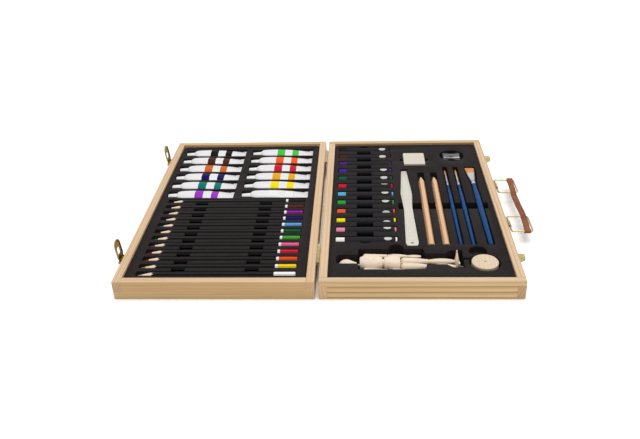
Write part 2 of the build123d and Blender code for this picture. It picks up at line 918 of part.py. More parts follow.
def handle_ring(y):
    """A rectangular wire ring that turns in its bracket."""
    half = ring_width / 2
    with BuildPart() as ring:
        with BuildLine() as path:
            FilletPolyline(
                (ring_inner_x, y - half, ring_axis_z),
                (ring_inner_x, y + half, ring_axis_z),
                (ring_outer_x, y + half, ring_axis_z),
                (ring_outer_x, y - half, ring_axis_z),
                radius=ring_corner,
                close=True,
            )
        with BuildSketch(Plane(origin=path.line @ 0, z_dir=path.line % 0)):
            Circle(ring_wire_radius)
        sweep()
    return ring


def handle_bracket(y):
    """A plate with a rolled eye for the ring's wire."""
    start = y - bracket_width / 2
    eye_radius = ring_wire_radius + running_clearance + bracket_wall
    with BuildPart() as bracket:
        with BuildSketch(along_y(outer_face, start, ring_axis_z)):
            with Locations((bracket_wall / 2, 0)):
                Rectangle(bracket_wall, bracket_height)
            with Locations((ring_axis_out, 0)):
                Circle(eye_radius)
            with Locations((ring_axis_out / 2, 0)):
                Rectangle(ring_axis_out, eye_radius)
        extrude(amount=bracket_width)
        with BuildSketch(along_y(ring_inner_x, start, ring_axis_z)):
            Circle(ring_wire_radius + running_clearance)
        extrude(amount=bracket_width, mode=Mode.SUBTRACT)
        with Locations(*bracket_screw_planes()):
            add(dome_screw.part, mode=Mode.SUBTRACT)
    return bracket


for place, name in ((FRONT, "front"), (BACK, "back")):
    save(handle_ring(place * ring_centre_y), f"{name}_handle_ring")
    save(handle_bracket(place * ring_centre_y), f"{name}_handle_bracket")

eye_height = 2 * (ring_wire_radius + strap_clearance)
strap_height = eye_height + 2 * strap_leather
far_wire = ring_centre_y + ring_width / 2
near_wire = ring_centre_y - ring_width / 2
strap_x = ring_outer_x - ring_wire_radius - strap_clearance - strap_width
with BuildPart() as handle_strap:
    with BuildSketch(along_x(strap_x, 0, ring_axis_z)):
        SlotCenterToCenter(2 * far_wire, strap_height)
        for sign in (-1, 1):
            with Locations((sign * (far_wire + near_wire) / 2, 0)):
                SlotCenterToCenter(far_wire - near_wire, eye_height, mode=Mode.SUBTRACT)
    extrude(amount=strap_width)
save(handle_strap, "handle_strap")


# Paint tubes
with BuildPart() as tube:
    with BuildSketch(along_x(body_start, 0, 0)):
        Ellipse(tube_half_width, tube_half_height)
    with BuildSketch(along_x(tube_length - crimp_length, 0, 0)):
        Ellipse(crimp_width / 2, crimp_thickness / 2)
    loft()
    with BuildSketch(along_x(body_start, 0, 0)):
        Ellipse(tube_half_width, tube_half_height)
    with BuildSketch(along_x(cap_length, 0, 0)):
        Circle(cap_radius)
    loft()
    with BuildSketch(along_x(cap_length, 0, 0)):
        Circle(neck_radius)
    extrude(amount=cap_end_wall - cap_length)
    with BuildSketch(along_x(tube_length - crimp_length, 0, 0)):
        Rectangle(crimp_width, crimp_thickness)
    extrude(amount=crimp_length)

with BuildPart() as cap:
    with BuildSketch(along_x(0, 0, 0)):
        Circle(cap_taper * cap_radius)
    with BuildSketch(along_x(cap_length, 0, 0)):
        Circle(cap_radius)
    loft()
    with BuildSketch(along_x(cap_end_wall, 0, 0)):
        Circle(neck_radius + thread_clearance)
    extrude(amount=cap_length - cap_end_wall, mode=Mode.SUBTRACT)

tube_places = [(start, y, tube_axis_z) for start in tube_starts for y in tube_ys]
for shape, name in ((tube, "paint_tubes"), (cap, "tube_caps")):
    with BuildPart() as tube_group:
        with Locations(*tube_places):
            add(shape.part)
    save(tube_group, name)


def hexagonal_pencil(length, flats, cone):
    """A six-sided pencil along +X from its point, sharpened over the cone's length."""
    corner = flats / 2 / cos(radians(30))
    with BuildPart() as pencil:
        with BuildSketch(along_x(0, 0, 0)):
            RegularPolygon(radius=corner, side_count=6, rotation=0)
        extrude(amount=length)
        with BuildSketch(Plane.XZ):
            with BuildLine():
                Polyline((0, 0), (0, lead_radius), (cone, corner), (length, corner), (length, 0), close=True)
            make_face()
        revolve(axis=Axis.X, mode=Mode.INTERSECT)
    return pencil


colour_pencil = hexagonal_pencil(pencil_length, pencil_flats, pencil_cone)
with BuildPart() as colour_pencils:
    with Locations(*[(pencil_tip_x, y, pencil_axis_z) for y in pencil_ys]):
        add(colour_pencil.part)
save(colour_pencils, "colour_pencils")

graphite_pencil = hexagonal_pencil(graphite_length, graphite_flats, graphite_cone)
with BuildPart() as graphite_pencils:
    with Locations(*[Location((x, graphite_tip_y, graphite_axis_z), (0, 0, -90)) for x in graphite_xs]):
        add(graphite_pencil.part)
save(graphite_pencils, "graphite_pencils")


# Oil pastels
with BuildPart() as pastel_sticks:
    for y in pastel_ys:
        with BuildSketch(along_x(pastel_x, y, pastel_axis_z)):
            Circle(pastel_radius)
        extrude(amount=pastel_length)
save(pastel_sticks, "pastel_sticks")

with BuildPart() as pastel_wrappers:
    for y in pastel_ys:
        with BuildSketch(along_x(pastel_x + wrapper_start, y, pastel_axis_z)):
            Circle(wrapper_radius)
            Circle(pastel_radius, mode=Mode.SUBTRACT)
        extrude(amount=wrapper_end - wrapper_start)
save(pastel_wrappers, "pastel_wrappers")

# Eraser
with BuildPart() as eraser:
    with BuildSketch(Plane.XY.offset(eraser_floor)):
        with Locations((eraser_x, eraser_y)):
            RectangleRounded(eraser_width, eraser_depth, eraser_corner)
    extrude(amount=eraser_height)
    fillet(eraser.faces().sort_by(Axis.Z)[-1].edges(), radius=eraser_edge)
save(eraser, "eraser")

# Sharpener: a wedge of metal with waisted sides, a blade and its screw
blade_tilt = Plane(
    origin=(0, 0, (sharpener_height + sharpener_low_side) / 2),
    x_dir=(1, 0, 0),
    z_dir=(0, -(sharpener_height - sharpener_low_side), sharpener_width),
)
with BuildPart() as wedge:
    with BuildSketch(along_x(-sharpener_length / 2, 0, 0)):
        with BuildLine():
            Polyline(
                (-sharpener_width / 2, 0),
                (sharpener_width / 2, 0),
                (sharpener_width / 2, sharpener_height),
                (-sharpener_width / 2, sharpener_low_side),
                close=True,
            )
        make_face()
    extrude(amount=sharpener_length)
    with BuildSketch():
        for sign in (-1, 1):
            with Locations((0, sign * (sharpener_width / 2 - grip_depth + grip_radius))):
                Circle(grip_radius)
    extrude(amount=sharpener_height, mode=Mode.SUBTRACT)
    with BuildSketch(along_x(-sharpener_length / 2, 0, sharpener_low_side / 2 + sharpener_bore_rise)):
        Circle(sharpener_bore_radius)
    extrude(
        amount=sharpener_bore_share * sharpener_length,
        taper=sharpener_bore_taper,
        mode=Mode.SUBTRACT,
    )

with BuildPart() as blade:
    with BuildSketch(blade_tilt):
        Rectangle(blade_length, blade_width)
        Circle(screw_radius, mode=Mode.SUBTRACT)
    extrude(amount=blade_thickness)

with BuildPart() as blade_screw:
    with BuildSketch(blade_tilt.offset(blade_thickness)):
        Circle(sharpener_screw_radius)
    extrude(amount=sharpener_screw_head)
    with BuildSketch(blade_tilt.offset(blade_thickness)):
        Circle(screw_radius)
    extrude(amount=-blade_thickness)

for shape, name in ((wedge, "body"), (blade, "blade"), (blade_screw, "screw")):
    with BuildPart() as sharpener_piece:
        with Locations((sharpener_x, sharpener_y, sharpener_floor)):
            add(shape.part)
    save(sharpener_piece, f"sharpener_{name}")

# Palette knife: one moulding with a thin blade and a thicker handle
with BuildPart() as palette_knife:
    with BuildSketch(Plane.XY.offset(knife_floor)):
        with BuildLine():
            Polyline(*mirrored_outline(knife_outline, knife_x, "y"), close=True)
        knife_face = make_face()
        fillet(knife_face.vertices(), radius=knife_corner)
        with Locations((knife_x, knife_end_y + knife_hole_inset)):
            Circle(knife_hole_radius, mode=Mode.SUBTRACT)
    extrude(amount=knife_handle_thickness)
    with BuildSketch(Plane.XY.offset(knife_floor + blade_plate)):
        with Locations((knife_x, knife_end_y + knife_neck + knife_length / 2)):
            Rectangle(3 * knife_wide_half, knife_length)
    extrude(amount=knife_handle_thickness, mode=Mode.SUBTRACT)
save(palette_knife, "palette_knife")


# Brushes
def brush_axis_z(radius):
    """Height of a brush's axis when its handle lies in the pocket."""
    return brush_floor + seat_gap + radius


def brush_handle(radius, ferrule):
    """A turned handle along Y, thickest between the ferrule and the rounded end."""
    end_radius = brush_end_share * radius
    end_y = brush_end_y + end_radius
    with BuildPart() as handle:
        with BuildSketch():
            with BuildLine():
                Bezier(
                    (ferrule, ferrule_front_y),
                    (radius, ferrule_front_y - brush_belly / 2),
                    (radius, ferrule_front_y - 1.5 * brush_belly),
                    (0.8 * radius, brush_end_y + brush_belly),
                    (end_radius, end_y),
                )
                ThreePointArc(
                    (end_radius, end_y),
                    (0.8 * end_radius, end_y - 0.6 * end_radius),
                    (0, brush_end_y),
                )
                Polyline((0, brush_end_y), (0, ferrule_front_y), (ferrule, ferrule_front_y))
            make_face()
        revolve(axis=Axis.Y)
    return handle


def round_bristles(ferrule):
    """A pointed tuft along Y, narrow where it leaves the ferrule."""
    neck = tuft_neck_share * ferrule
    with BuildPart() as tuft:
        with BuildSketch():
            with BuildLine():
                Bezier(
                    (neck, round_ferrule_back_y),
                    (1.6 * neck, round_ferrule_back_y + 0.4 * round_bristle_length),
                    (0.3 * neck, round_bristle_tip_y - 0.27 * round_bristle_length),
                    (0, round_bristle_tip_y),
                )
                Polyline((0, round_bristle_tip_y), (0, round_ferrule_back_y), (neck, round_ferrule_back_y))
            make_face()
        revolve(axis=Axis.Y)
    return tuft


with BuildPart() as brush_handles:
    for x, radius, ferrule in zip(brush_xs, brush_handle_radii, brush_ferrule_radii):
        handle = brush_handle(radius, ferrule)
        with Locations((x, 0, brush_axis_z(radius))):
            add(handle.part)
save(brush_handles, "brush_handles")

with BuildPart() as brush_ferrules:
    for x, radius, ferrule in zip(round_xs, brush_handle_radii, brush_ferrule_radii):
        z = brush_axis_z(radius)
        with BuildSketch(along_y(x, ferrule_front_y, z)):
            Circle(ferrule)
        with BuildSketch(along_y(x, round_ferrule_back_y, z)):
            Circle(ferrule_taper * ferrule)
        loft()
    flat_z = brush_axis_z(brush_handle_radii[2])
    with BuildSketch(along_y(flat_x, ferrule_front_y, flat_z)):
        Circle(brush_ferrule_radii[2])
    with BuildSketch(along_y(flat_x, flat_ferrule_back_y, flat_z)):
        Ellipse(flat_brush_width / 2 - flat_ferrule_narrowing, flat_brush_thickness / 2)
    loft()
save(brush_ferrules, "brush_ferrules")

with BuildPart() as brush_bristles:
    for x, radius, ferrule in zip(round_xs, brush_handle_radii, brush_ferrule_radii):
        tuft = round_bristles(ferrule)
        with Locations((x, 0, brush_axis_z(radius))):
            add(tuft.part)
    with BuildSketch(along_y(flat_x, flat_ferrule_back_y, flat_z)):
        Ellipse(
            flat_brush_width / 2 - flat_ferrule_narrowing - bristle_inset,
            flat_brush_thickness / 2 - bristle_inset,
        )
    with BuildSketch(along_y(flat_x, flat_bristle_tip_y, flat_z)):
        Ellipse(flat_brush_width / 2, flat_brush_thickness / 2 - flat_bristle_thinning)
    loft()
save(brush_bristles, "brush_bristles")


# Jointed wooden figure
def turned(points, y, z):
    """Solid turned about a line along X, from (x, radius) points."""
    with BuildPart() as solid:
        with BuildSketch(Plane.XY.offset(z)):
            with BuildLine():
                Spline(*[(x, y + radius) for x, radius in points])
                Polyline(
                    (points[-1][0], y + points[-1][1]),
                    (points[-1][0], y),
                    (points[0][0], y),
                    (points[0][0], y + points[0][1]),
                )
            make_face()
        revolve(axis=Axis((0, y, z), (1, 0, 0)))
    return solid


def oval_block(sections, y, z):
    """Lofted block along X from (x, half width, half height) sections."""
    with BuildPart() as solid:
        for x, across, up in sections:
            with BuildSketch(along_x(x, y, z)):
                Ellipse(across, up)
        loft()
    return solid


def ball(x, y, z, radius):
    """A ball as a separate part."""
    with BuildPart() as solid:
        with Locations((x, y, z)):
            Sphere(radius)
    return solid


def cross_pin(x, y, z, radius, length):
    """A pin along Y, from y over the given length."""
    with BuildPart() as pin:
        with BuildSketch(along_y(x, y, z)):
            Circle(radius)
        extrude(amount=length)
    return pin


head_profile = [
    (head_start, 0.6),
    (head_start + 0.18 * head_length, 0.78 * head_radius),
    (head_start + 0.42 * head_length, head_radius),
    (head_start + 0.8 * head_length, 0.66 * head_radius),
    (head_start + head_length, head_face_radius),
]
neck_pin = cross_pin(neck_x, figure_y - neck_pin_half, head_z, neck_pin_radius, 2 * neck_pin_half)
neck_bore = cross_pin(
    neck_x, figure_y - neck_pin_half, head_z, neck_pin_radius + running_clearance, 2 * neck_pin_half
)
with BuildPart() as manikin_head:
    add(turned(head_profile, figure_y, head_z).part)
    add(ball(neck_x, figure_y, head_z, neck_ball_radius + joint_gap).part, mode=Mode.SUBTRACT)
    add(neck_pin.part)
save(manikin_head, "manikin_head")

chest_sections = [
    (chest_start, 0.72 * chest_half_width, 0.72 * chest_half_height),
    (chest_start + 7, chest_half_width, chest_half_height),
    (chest_end, 0.7 * chest_half_width, 0.75 * chest_half_height),
]
chest_block = oval_block(chest_sections, figure_y, 0)
figure_z = deep_floor + seat_gap - chest_block.part.bounding_box().min.Z
with BuildPart() as manikin_chest:
    with Locations((0, 0, figure_z)):
        add(chest_block.part)
    add(cross_pin(shoulder_x, figure_y - arm_spread, arm_z, joint_pin_radius, 2 * arm_spread).part)
    add(ball(neck_x, figure_y, head_z, neck_ball_radius).part)
    with BuildSketch(along_x(neck_x, figure_y, head_z)):
        Circle(neck_post_share * neck_ball_radius)
    extrude(amount=chest_start + 3 - neck_x)
    add(neck_bore.part, mode=Mode.SUBTRACT)
save(manikin_chest, "manikin_chest")

with BuildPart() as manikin_waist:
    with BuildSketch(along_x(chest_end, figure_y, figure_z)):
        Circle(waist_radius)
    extrude(amount=pelvis_start - chest_end)
save(manikin_waist, "manikin_waist")

pelvis_sections = [
    (pelvis_start, 0.75 * pelvis_half_width, 0.85 * pelvis_half_height),
    (pelvis_end - 6, pelvis_half_width, pelvis_half_height),
    (pelvis_end, 0.95 * pelvis_half_width, 0.85 * pelvis_half_height),
]
hip_pin_half = leg_spread + hip_pin_reach
with BuildPart() as manikin_pelvis:
    add(oval_block(pelvis_sections, figure_y, figure_z).part)
    with BuildSketch(along_y(hip_x, figure_y - hip_tongue / 2, leg_z)):
        Circle(hip_tongue_radius)
        with Locations(((pelvis_end - hip_x) / 2, 0)):
            Rectangle(hip_x - pelvis_end + 2 * hip_tongue, 2 * hip_tongue_radius)
    extrude(amount=hip_tongue)
    add(cross_pin(hip_x, figure_y - hip_pin_half, leg_z, joint_pin_radius, 2 * hip_pin_half).part)
save(manikin_pelvis, "manikin_pelvis")

with BuildPart() as manikin_rod:
    with BuildSketch(along_x(pelvis_end, figure_y, rod_z)):
        Circle(rod_radius)
    extrude(amount=rod_end - pelvis_end)
save(manikin_rod, "manikin_rod")

pin_hole_radius = joint_pin_radius + running_clearance
elbow_pin_half = elbow_radius - 0.4
thigh_profile = [
    (hip_x, thigh_radius),
    (hip_x + 8, 0.98 * thigh_radius),
    (thigh_end, 0.62 * thigh_radius),
]
knee_profile = [
    (thigh_end, 0.62 * thigh_radius),
    ((thigh_end + knee_end) / 2, knee_radius),
    (knee_end, 0.72 * knee_radius),
]
shin_profile = [
    (knee_end, 0.72 * knee_radius),
    (knee_end + 8, calf_radius),
    (ankle_x, ankle_radius),
]
upper_arm_profile = [
    (shoulder_x, arm_radius),
    (shoulder_x + 9, 0.92 * arm_radius),
    (elbow_x - elbow_radius - joint_gap, 0.75 * arm_radius),
]
forearm_profile = [
    (elbow_x, elbow_radius),
    (elbow_x + 7, 0.9 * arm_radius),
    (wrist_x, 0.42 * arm_radius),
]
hand_sections = [
    (wrist_x, 0.42 * arm_radius, 0.42 * arm_radius),
    ((wrist_x + hand_end) / 2, 0.8 * arm_radius, 0.5 * arm_radius),
    (hand_end, 0.4 * arm_radius, 0.3 * arm_radius),
]
foot_sections = [
    (-heel_reach, 0.45, 0.6),
    (-0.5 * heel_reach, 0.85, 1.0),
    (0.45 * toe_reach, 1.0, 0.7),
    (toe_reach, 0.45, 0.35),
]
for side, name in ((1, "left"), (-1, "right")):
    leg_y = figure_y + side * leg_spread
    arm_y = figure_y + side * arm_spread

    hole_end = leg_y + side * (hip_pin_reach + joint_gap)
    pin_hole = cross_pin(hip_x, hole_end, leg_z, pin_hole_radius, -side * 2 * thigh_radius)
    with BuildPart() as thigh:
        add(turned(thigh_profile, leg_y, leg_z).part)
        add(turned(knee_profile, leg_y, leg_z).part)
        add(ball(hip_x, leg_y, leg_z, thigh_radius).part)
        add(pin_hole.part, mode=Mode.SUBTRACT)
    save(thigh, f"manikin_{name}_thigh")

    save(turned(shin_profile, leg_y, leg_z), f"manikin_{name}_shin")

    toes = (0, side * sin(radians(foot_splay)), cos(radians(foot_splay)))
    with BuildPart() as foot:
        for reach, across, thick in foot_sections:
            origin = (foot_x, leg_y + reach * toes[1], leg_z + reach * toes[2])
            with BuildSketch(Plane(origin=origin, x_dir=(1, 0, 0), z_dir=toes)):
                Ellipse(thick * foot_half_thickness, across * foot_half_width)
        loft()
        with BuildSketch(along_x(ankle_x, leg_y, leg_z)):
            Circle(ankle_radius)
        extrude(amount=foot_x - ankle_x)
    save(foot, f"manikin_{name}_foot")

    hole_end = arm_y + side * joint_gap
    pin_hole = cross_pin(shoulder_x, hole_end, arm_z, pin_hole_radius, -side * 2 * arm_radius)
    elbow_hole_radius = elbow_pin_radius + running_clearance
    elbow_hole = cross_pin(elbow_x, arm_y - elbow_radius, arm_z, elbow_hole_radius, 2 * elbow_radius)
    with BuildPart() as upper_arm:
        add(turned(upper_arm_profile, arm_y, arm_z).part)
        add(ball(shoulder_x, arm_y, arm_z, arm_radius).part)
        add(pin_hole.part, mode=Mode.SUBTRACT)
        with BuildSketch(along_y(elbow_x, arm_y - elbow_tongue / 2, arm_z)):
            Circle(0.75 * elbow_radius)
            with Locations((-elbow_radius, 0)):
                Rectangle(2 * elbow_radius, 1.5 * elbow_radius)
        extrude(amount=elbow_tongue)
        add(elbow_hole.part, mode=Mode.SUBTRACT)
    save(upper_arm, f"manikin_{name}_upper_arm")

    elbow_pin = cross_pin(elbow_x, arm_y - elbow_pin_half, arm_z, elbow_pin_radius, 2 * elbow_pin_half)
    with BuildPart() as forearm:
        add(turned(forearm_profile, arm_y, arm_z).part)
        add(ball(elbow_x, arm_y, arm_z, elbow_radius).part)
        with BuildSketch(along_y(elbow_x - elbow_radius, arm_y, arm_z)):
            Rectangle(4 * elbow_radius + 2 * joint_gap, 3 * elbow_radius)
        extrude(amount=(elbow_tongue + joint_gap) / 2, both=True, mode=Mode.SUBTRACT)
        add(elbow_pin.part)
        add(oval_block(hand_sections, arm_y, arm_z).part)
    save(forearm, f"manikin_{name}_forearm")

with BuildPart() as manikin_base:
    with BuildSketch(Plane.XY.offset(disc_top - disc_thickness)):
        with Locations((disc_x, disc_y)):
            Circle(disc_radius)
    extrude(amount=disc_thickness)
    fillet(manikin_base.faces().sort_by(Axis.Z)[-1].edges(), radius=disc_edge)
    with BuildSketch(Plane.XY.offset(disc_top)):
        with Locations((disc_x, disc_y)):
            Circle(rod_radius + running_clearance)
    extrude(amount=-0.7 * disc_thickness, mode=Mode.SUBTRACT)
save(manikin_base, "manikin_base")
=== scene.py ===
import json
from math import cos, sin, pi, radians

import bmesh
import bpy
from mathutils import Matrix, Vector, noise

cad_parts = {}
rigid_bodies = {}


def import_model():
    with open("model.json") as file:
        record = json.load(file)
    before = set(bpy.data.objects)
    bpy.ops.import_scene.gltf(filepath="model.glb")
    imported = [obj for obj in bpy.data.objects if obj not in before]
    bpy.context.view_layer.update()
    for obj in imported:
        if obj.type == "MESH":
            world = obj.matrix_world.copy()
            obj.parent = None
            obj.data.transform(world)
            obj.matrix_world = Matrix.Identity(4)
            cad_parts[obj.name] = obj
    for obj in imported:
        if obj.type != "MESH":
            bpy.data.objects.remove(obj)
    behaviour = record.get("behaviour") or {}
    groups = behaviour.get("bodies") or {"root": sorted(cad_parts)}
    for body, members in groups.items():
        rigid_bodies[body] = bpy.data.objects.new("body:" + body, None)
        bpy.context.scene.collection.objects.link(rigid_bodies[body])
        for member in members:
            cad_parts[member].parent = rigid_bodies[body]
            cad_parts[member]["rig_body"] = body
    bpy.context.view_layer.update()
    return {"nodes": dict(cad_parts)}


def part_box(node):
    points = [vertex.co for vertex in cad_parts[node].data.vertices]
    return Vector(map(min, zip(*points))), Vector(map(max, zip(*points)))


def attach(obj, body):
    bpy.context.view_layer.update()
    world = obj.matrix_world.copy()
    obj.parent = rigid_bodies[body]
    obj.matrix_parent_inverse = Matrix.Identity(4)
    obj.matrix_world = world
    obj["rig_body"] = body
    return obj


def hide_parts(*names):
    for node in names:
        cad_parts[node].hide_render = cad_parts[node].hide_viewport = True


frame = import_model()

# Lengths and places are millimetres in the part's frame. They become metres where a mesh is made.
MM = 0.001
scene = bpy.context.scene
nodes = frame["nodes"]


def box(node):
    """A CAD node's lowest and highest corner."""
    return [[v / MM for v in corner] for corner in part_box(node)]


def middle(node):
    return [(low + high) / 2 for low, high in zip(*box(node))]


def spaced(first, last, count):
    """Evenly spaced places from first to last."""
    return [first + (last - first) * i / (count - 1) for i in range(count)]


# Camera, at the photograph's viewing angle
CAMERA_AT = (46.8, -823.2, 478.2)
CAMERA_YAW, CAMERA_PITCH, CAMERA_ROLL = -0.062435, 0.530854, -0.037251
SENSOR_WIDTH, FOCAL_PIXELS, PHOTO_PIXELS = 36.0, 738.91, 640


def make_camera():
    forward = Vector((sin(CAMERA_YAW) * cos(CAMERA_PITCH), cos(CAMERA_YAW) * cos(CAMERA_PITCH),
                      -sin(CAMERA_PITCH)))
    right = Vector((cos(CAMERA_YAW), -sin(CAMERA_YAW), 0))
    up = right.cross(forward)
    right, up = (cos(CAMERA_ROLL) * right + sin(CAMERA_ROLL) * up,
                 cos(CAMERA_ROLL) * up - sin(CAMERA_ROLL) * right)
    data = bpy.data.cameras.new("camera")
    data.sensor_width = SENSOR_WIDTH
    data.lens = SENSOR_WIDTH * FOCAL_PIXELS / PHOTO_PIXELS
    data.clip_start = 0.02
    camera = bpy.data.objects.new("camera", data)
    turn = Matrix((right, up, -forward)).transposed().to_4x4()
    camera.matrix_world = Matrix.Translation(Vector(CAMERA_AT) * MM) @ turn
    scene.collection.objects.link(camera)
    scene.camera = camera


make_camera()

# Material tools
MIX_FACTOR, MIX_A, MIX_B, MIX_COLOR = 0, 6, 7, 2     # places of the Mix node's colour sockets
WAVE_TURN = 20.0          # radians that a wave texture turns through in one unit
RING_SCALE = 0.3          # units of the growth rings' pattern in one millimetre


class Nodes:
    """Short ways to add nodes to a tree. An input takes a value or another node's output."""

    def __init__(self, tree):
        self.tree = tree

    def feed(self, target, value):
        if isinstance(value, bpy.types.NodeSocket):
            self.tree.links.new(value, target)
        else:
            target.default_value = value

    def node(self, kind, inputs=None, **settings):
        new = self.tree.nodes.new("ShaderNode" + kind)
        for key, value in settings.items():
            setattr(new, key, value)
        for key, value in (inputs or {}).items():
            self.feed(new.inputs[key], value)
        return new

    def math(self, operation, a, b=0.0):
        return self.node("Math", {0: a, 1: b}, operation=operation).outputs[0]

    def mix(self, factor, a, b, blend="MIX"):
        a, b = ((*v, 1) if isinstance(v, tuple) else v for v in (a, b))
        inputs = {MIX_FACTOR: factor, MIX_A: a, MIX_B: b}
        return self.node("Mix", inputs, data_type="RGBA", blend_type=blend).outputs[MIX_COLOR]

    def multiply(self, factor, a, b):
        return self.mix(factor, a, b, "MULTIPLY")


class Surface(Nodes):
    """A Principled material, its patterns laid in the piece's own coordinates."""

    def __init__(self, name, color, roughness, specular=0.5, metallic=0.0):
        self.material = bpy.data.materials.new(name)
        self.material.use_nodes = True
        super().__init__(self.material.node_tree)
        self.bsdf = self.tree.nodes["Principled BSDF"]
        self.into("Base Color", (*color, 1))
        self.into("Roughness", roughness)
        self.into("Metallic", metallic)
        self.into("Specular IOR Level", specular)

    def into(self, socket, value):
        self.feed(self.bsdf.inputs[socket], value)

    def place(self, scale, offset=(0, 0, 0)):
        coords = self.node("TexCoord").outputs["Object"]
        return self.node("Mapping", {"Vector": coords, "Scale": scale, "Location": offset}).outputs[0]

    def noise(self, scale, detail=3.0):
        inputs = {"Vector": self.place(scale), "Scale": 1.0, "Detail": detail}
        return self.node("TexNoise", inputs).outputs["Fac"]

    def ramp(self, factor, stops):
        new = self.node("ValToRGB", {"Fac": factor})
        elements = new.color_ramp.elements
        while len(elements) < len(stops):
            elements.new(0.5)
        for element, (position, color) in zip(elements, stops):
            element.position = position
            element.color = (*color, 1)
        return new.outputs["Color"]

    def bump(self, height, strength, distance):
        """Relief from a pattern. distance is in metres."""
        inputs = {"Height": height, "Strength": strength, "Distance": distance}
        self.into("Normal", self.node("Bump", inputs).outputs["Normal"])

    def vary_roughness(self, factor, low, high):
        inputs = {"Value": factor, "To Min": low, "To Max": high}
        self.into("Roughness", self.node("MapRange", inputs).outputs[0])


def even(scale):
    return (scale,) * 3


def stretched(axis, across, along):
    """A pattern's scale: fine across one axis, long along it."""
    return tuple(along if i == axis else across for i in range(3))


def wood(name, along, light, dark, centre, spacing=4.0, contrast=1.0, roughness=0.5, lines=0.5,
         end=(0.93, 0.88, 0.80), side=(1, 1, 1)):
    """Sawn wood: growth rings round a line along one axis, fine fibres along it, its own end grain.
    centre is the line's place across the axis. end tints the end grain. side tints the upright faces darker
    and warmer than the top: painted shade for light that falls from above."""
    s = Surface(name, light, roughness, specular=0.3)
    axis = "XYZ".index(along)
    offset = [0.0 if i == axis else -RING_SCALE * v for i, v in enumerate(centre)]
    rings = s.node(
        "TexWave",
        {"Vector": s.place(stretched(axis, 300.0, 8.0), offset),
         "Scale": 2 * pi / (WAVE_TURN * RING_SCALE * spacing), "Distortion": 7.0,
         "Detail": 3.0, "Detail Scale": 0.3, "Detail Roughness": 0.55},
        wave_type="RINGS", rings_direction=along, wave_profile="SAW",
    ).outputs["Fac"]
    late = tuple(a + (b - a) * contrast for a, b in zip(light, dark))
    mid = tuple(a + (b - a) * 0.4 * contrast for a, b in zip(light, dark))
    grain = s.ramp(rings, [(0.0, light), (0.35, light), (0.72, mid), (0.93, late), (1.0, light)])
    fibres = s.noise(stretched(axis, 2600.0, 40.0), detail=2.0)
    threads = s.noise(stretched(axis, 700.0, 7.0))
    patches = s.noise(stretched(axis, 14.0, 5.0), detail=2.0)
    streak = s.ramp(fibres, [(0.3, (0.84, 0.81, 0.76)), (0.65, (1, 1, 1))])
    stripe = s.ramp(threads, [(0.25, (0.80, 0.73, 0.62)), (0.5, (1, 1, 1))])
    tone = s.ramp(patches, [(0.3, (0.92, 0.89, 0.84)), (0.7, (1.0, 1.0, 1.0))])
    color = s.mix(0.5, s.multiply(0.5, grain, streak), grain)
    color = s.multiply(lines, color, stripe)
    color = s.multiply(1.0, color, tone)
    normal = s.node("SeparateXYZ", {"Vector": s.node("TexCoord").outputs["Normal"]})
    facing = s.math("ABSOLUTE", normal.outputs[axis])
    cut = s.node("MapRange", {"Value": facing, "From Min": 0.6, "From Max": 0.9}).outputs[0]
    # Painted shade: the upright faces are tinted by side, darker and warmer than the lit top.
    upright = s.math("ABSOLUTE", normal.outputs[1 - axis])
    color = s.mix(upright, color, s.multiply(1.0, color, side))
    color = s.mix(cut, color, s.multiply(1.0, color, end))
    s.into("Base Color", color)
    s.vary_roughness(fibres, roughness - 0.08, roughness + 0.1)
    s.bump(fibres, 0.25, 0.0002)
    return s.material


def speckled(name, color, spread, roughness, specular=0.5, size=900.0, bump=0.2):
    """A moulded or painted surface with a fine speckle in colour, gloss and relief."""
    s = Surface(name, color, roughness, specular)
    fine = s.noise(even(size), detail=2.0)
    broad = s.noise(even(size / 30), detail=2.0)
    low = tuple(max(0.0, c * (1 - spread)) for c in color)
    high = tuple(min(1.0, c * (1 + spread)) for c in color)
    stops = [(0.3, low), (0.7, high)]
    s.into("Base Color", s.mix(0.25, s.ramp(fine, stops), s.ramp(broad, stops)))
    s.vary_roughness(fine, roughness - 0.06, roughness + 0.06)
    s.bump(fine, bump, 0.0003)
    return s.material


def metal(name, color, roughness, tarnish, brushed=None):
    """Plated or turned metal with fine scratches and a little uneven tarnish."""
    s = Surface(name, color, roughness, metallic=1.0)
    scratches = s.noise(stretched("XYZ".index(brushed), 3500.0, 60.0) if brushed else even(700.0))
    patches = s.noise(even(60.0))
    dull = tuple(c * (1 - tarnish) for c in color)
    s.into("Base Color", s.ramp(patches, [(0.35, dull), (0.65, color)]))
    s.vary_roughness(scratches, max(0.05, roughness - 0.1), roughness + 0.1)
    s.bump(scratches, 0.12, 0.0001)
    return s.material


def small_colour(name, color, roughness=0.3, bump=0.03):
    """A small coloured surface: a tube's band, a pencil's lead or dip, a pastel stick."""
    return speckled(name, color, 0.08, roughness, specular=0.03, size=500.0, bump=bump)


def make_leather():
    s = Surface("leather", (0.28, 0.075, 0.025), 0.5, specular=0.12)
    cells = s.node("TexVoronoi", {"Vector": s.place(even(1000.0)), "Scale": 1.3, "Randomness": 0.9})
    broad = s.noise(even(70.0), detail=4.0)
    s.into("Base Color", s.ramp(broad, [(0.3, (0.17, 0.050, 0.018)), (0.7, (0.31, 0.105, 0.042))]))
    s.vary_roughness(broad, 0.35, 0.55)
    s.bump(cells.outputs["Distance"], 0.35, 0.0003)
    return s.material


def make_bristle():
    s = Surface("bristle", (0.62, 0.25, 0.05), 0.4, specular=0.4)
    hairs = s.noise((5000.0, 60.0, 5000.0), detail=2.0)
    s.into("Base Color", s.ramp(hairs, [(0.3, (0.42, 0.13, 0.02)), (0.7, (0.85, 0.42, 0.10))]))
    s.bump(hairs, 0.8, 0.0004)
    return s.material


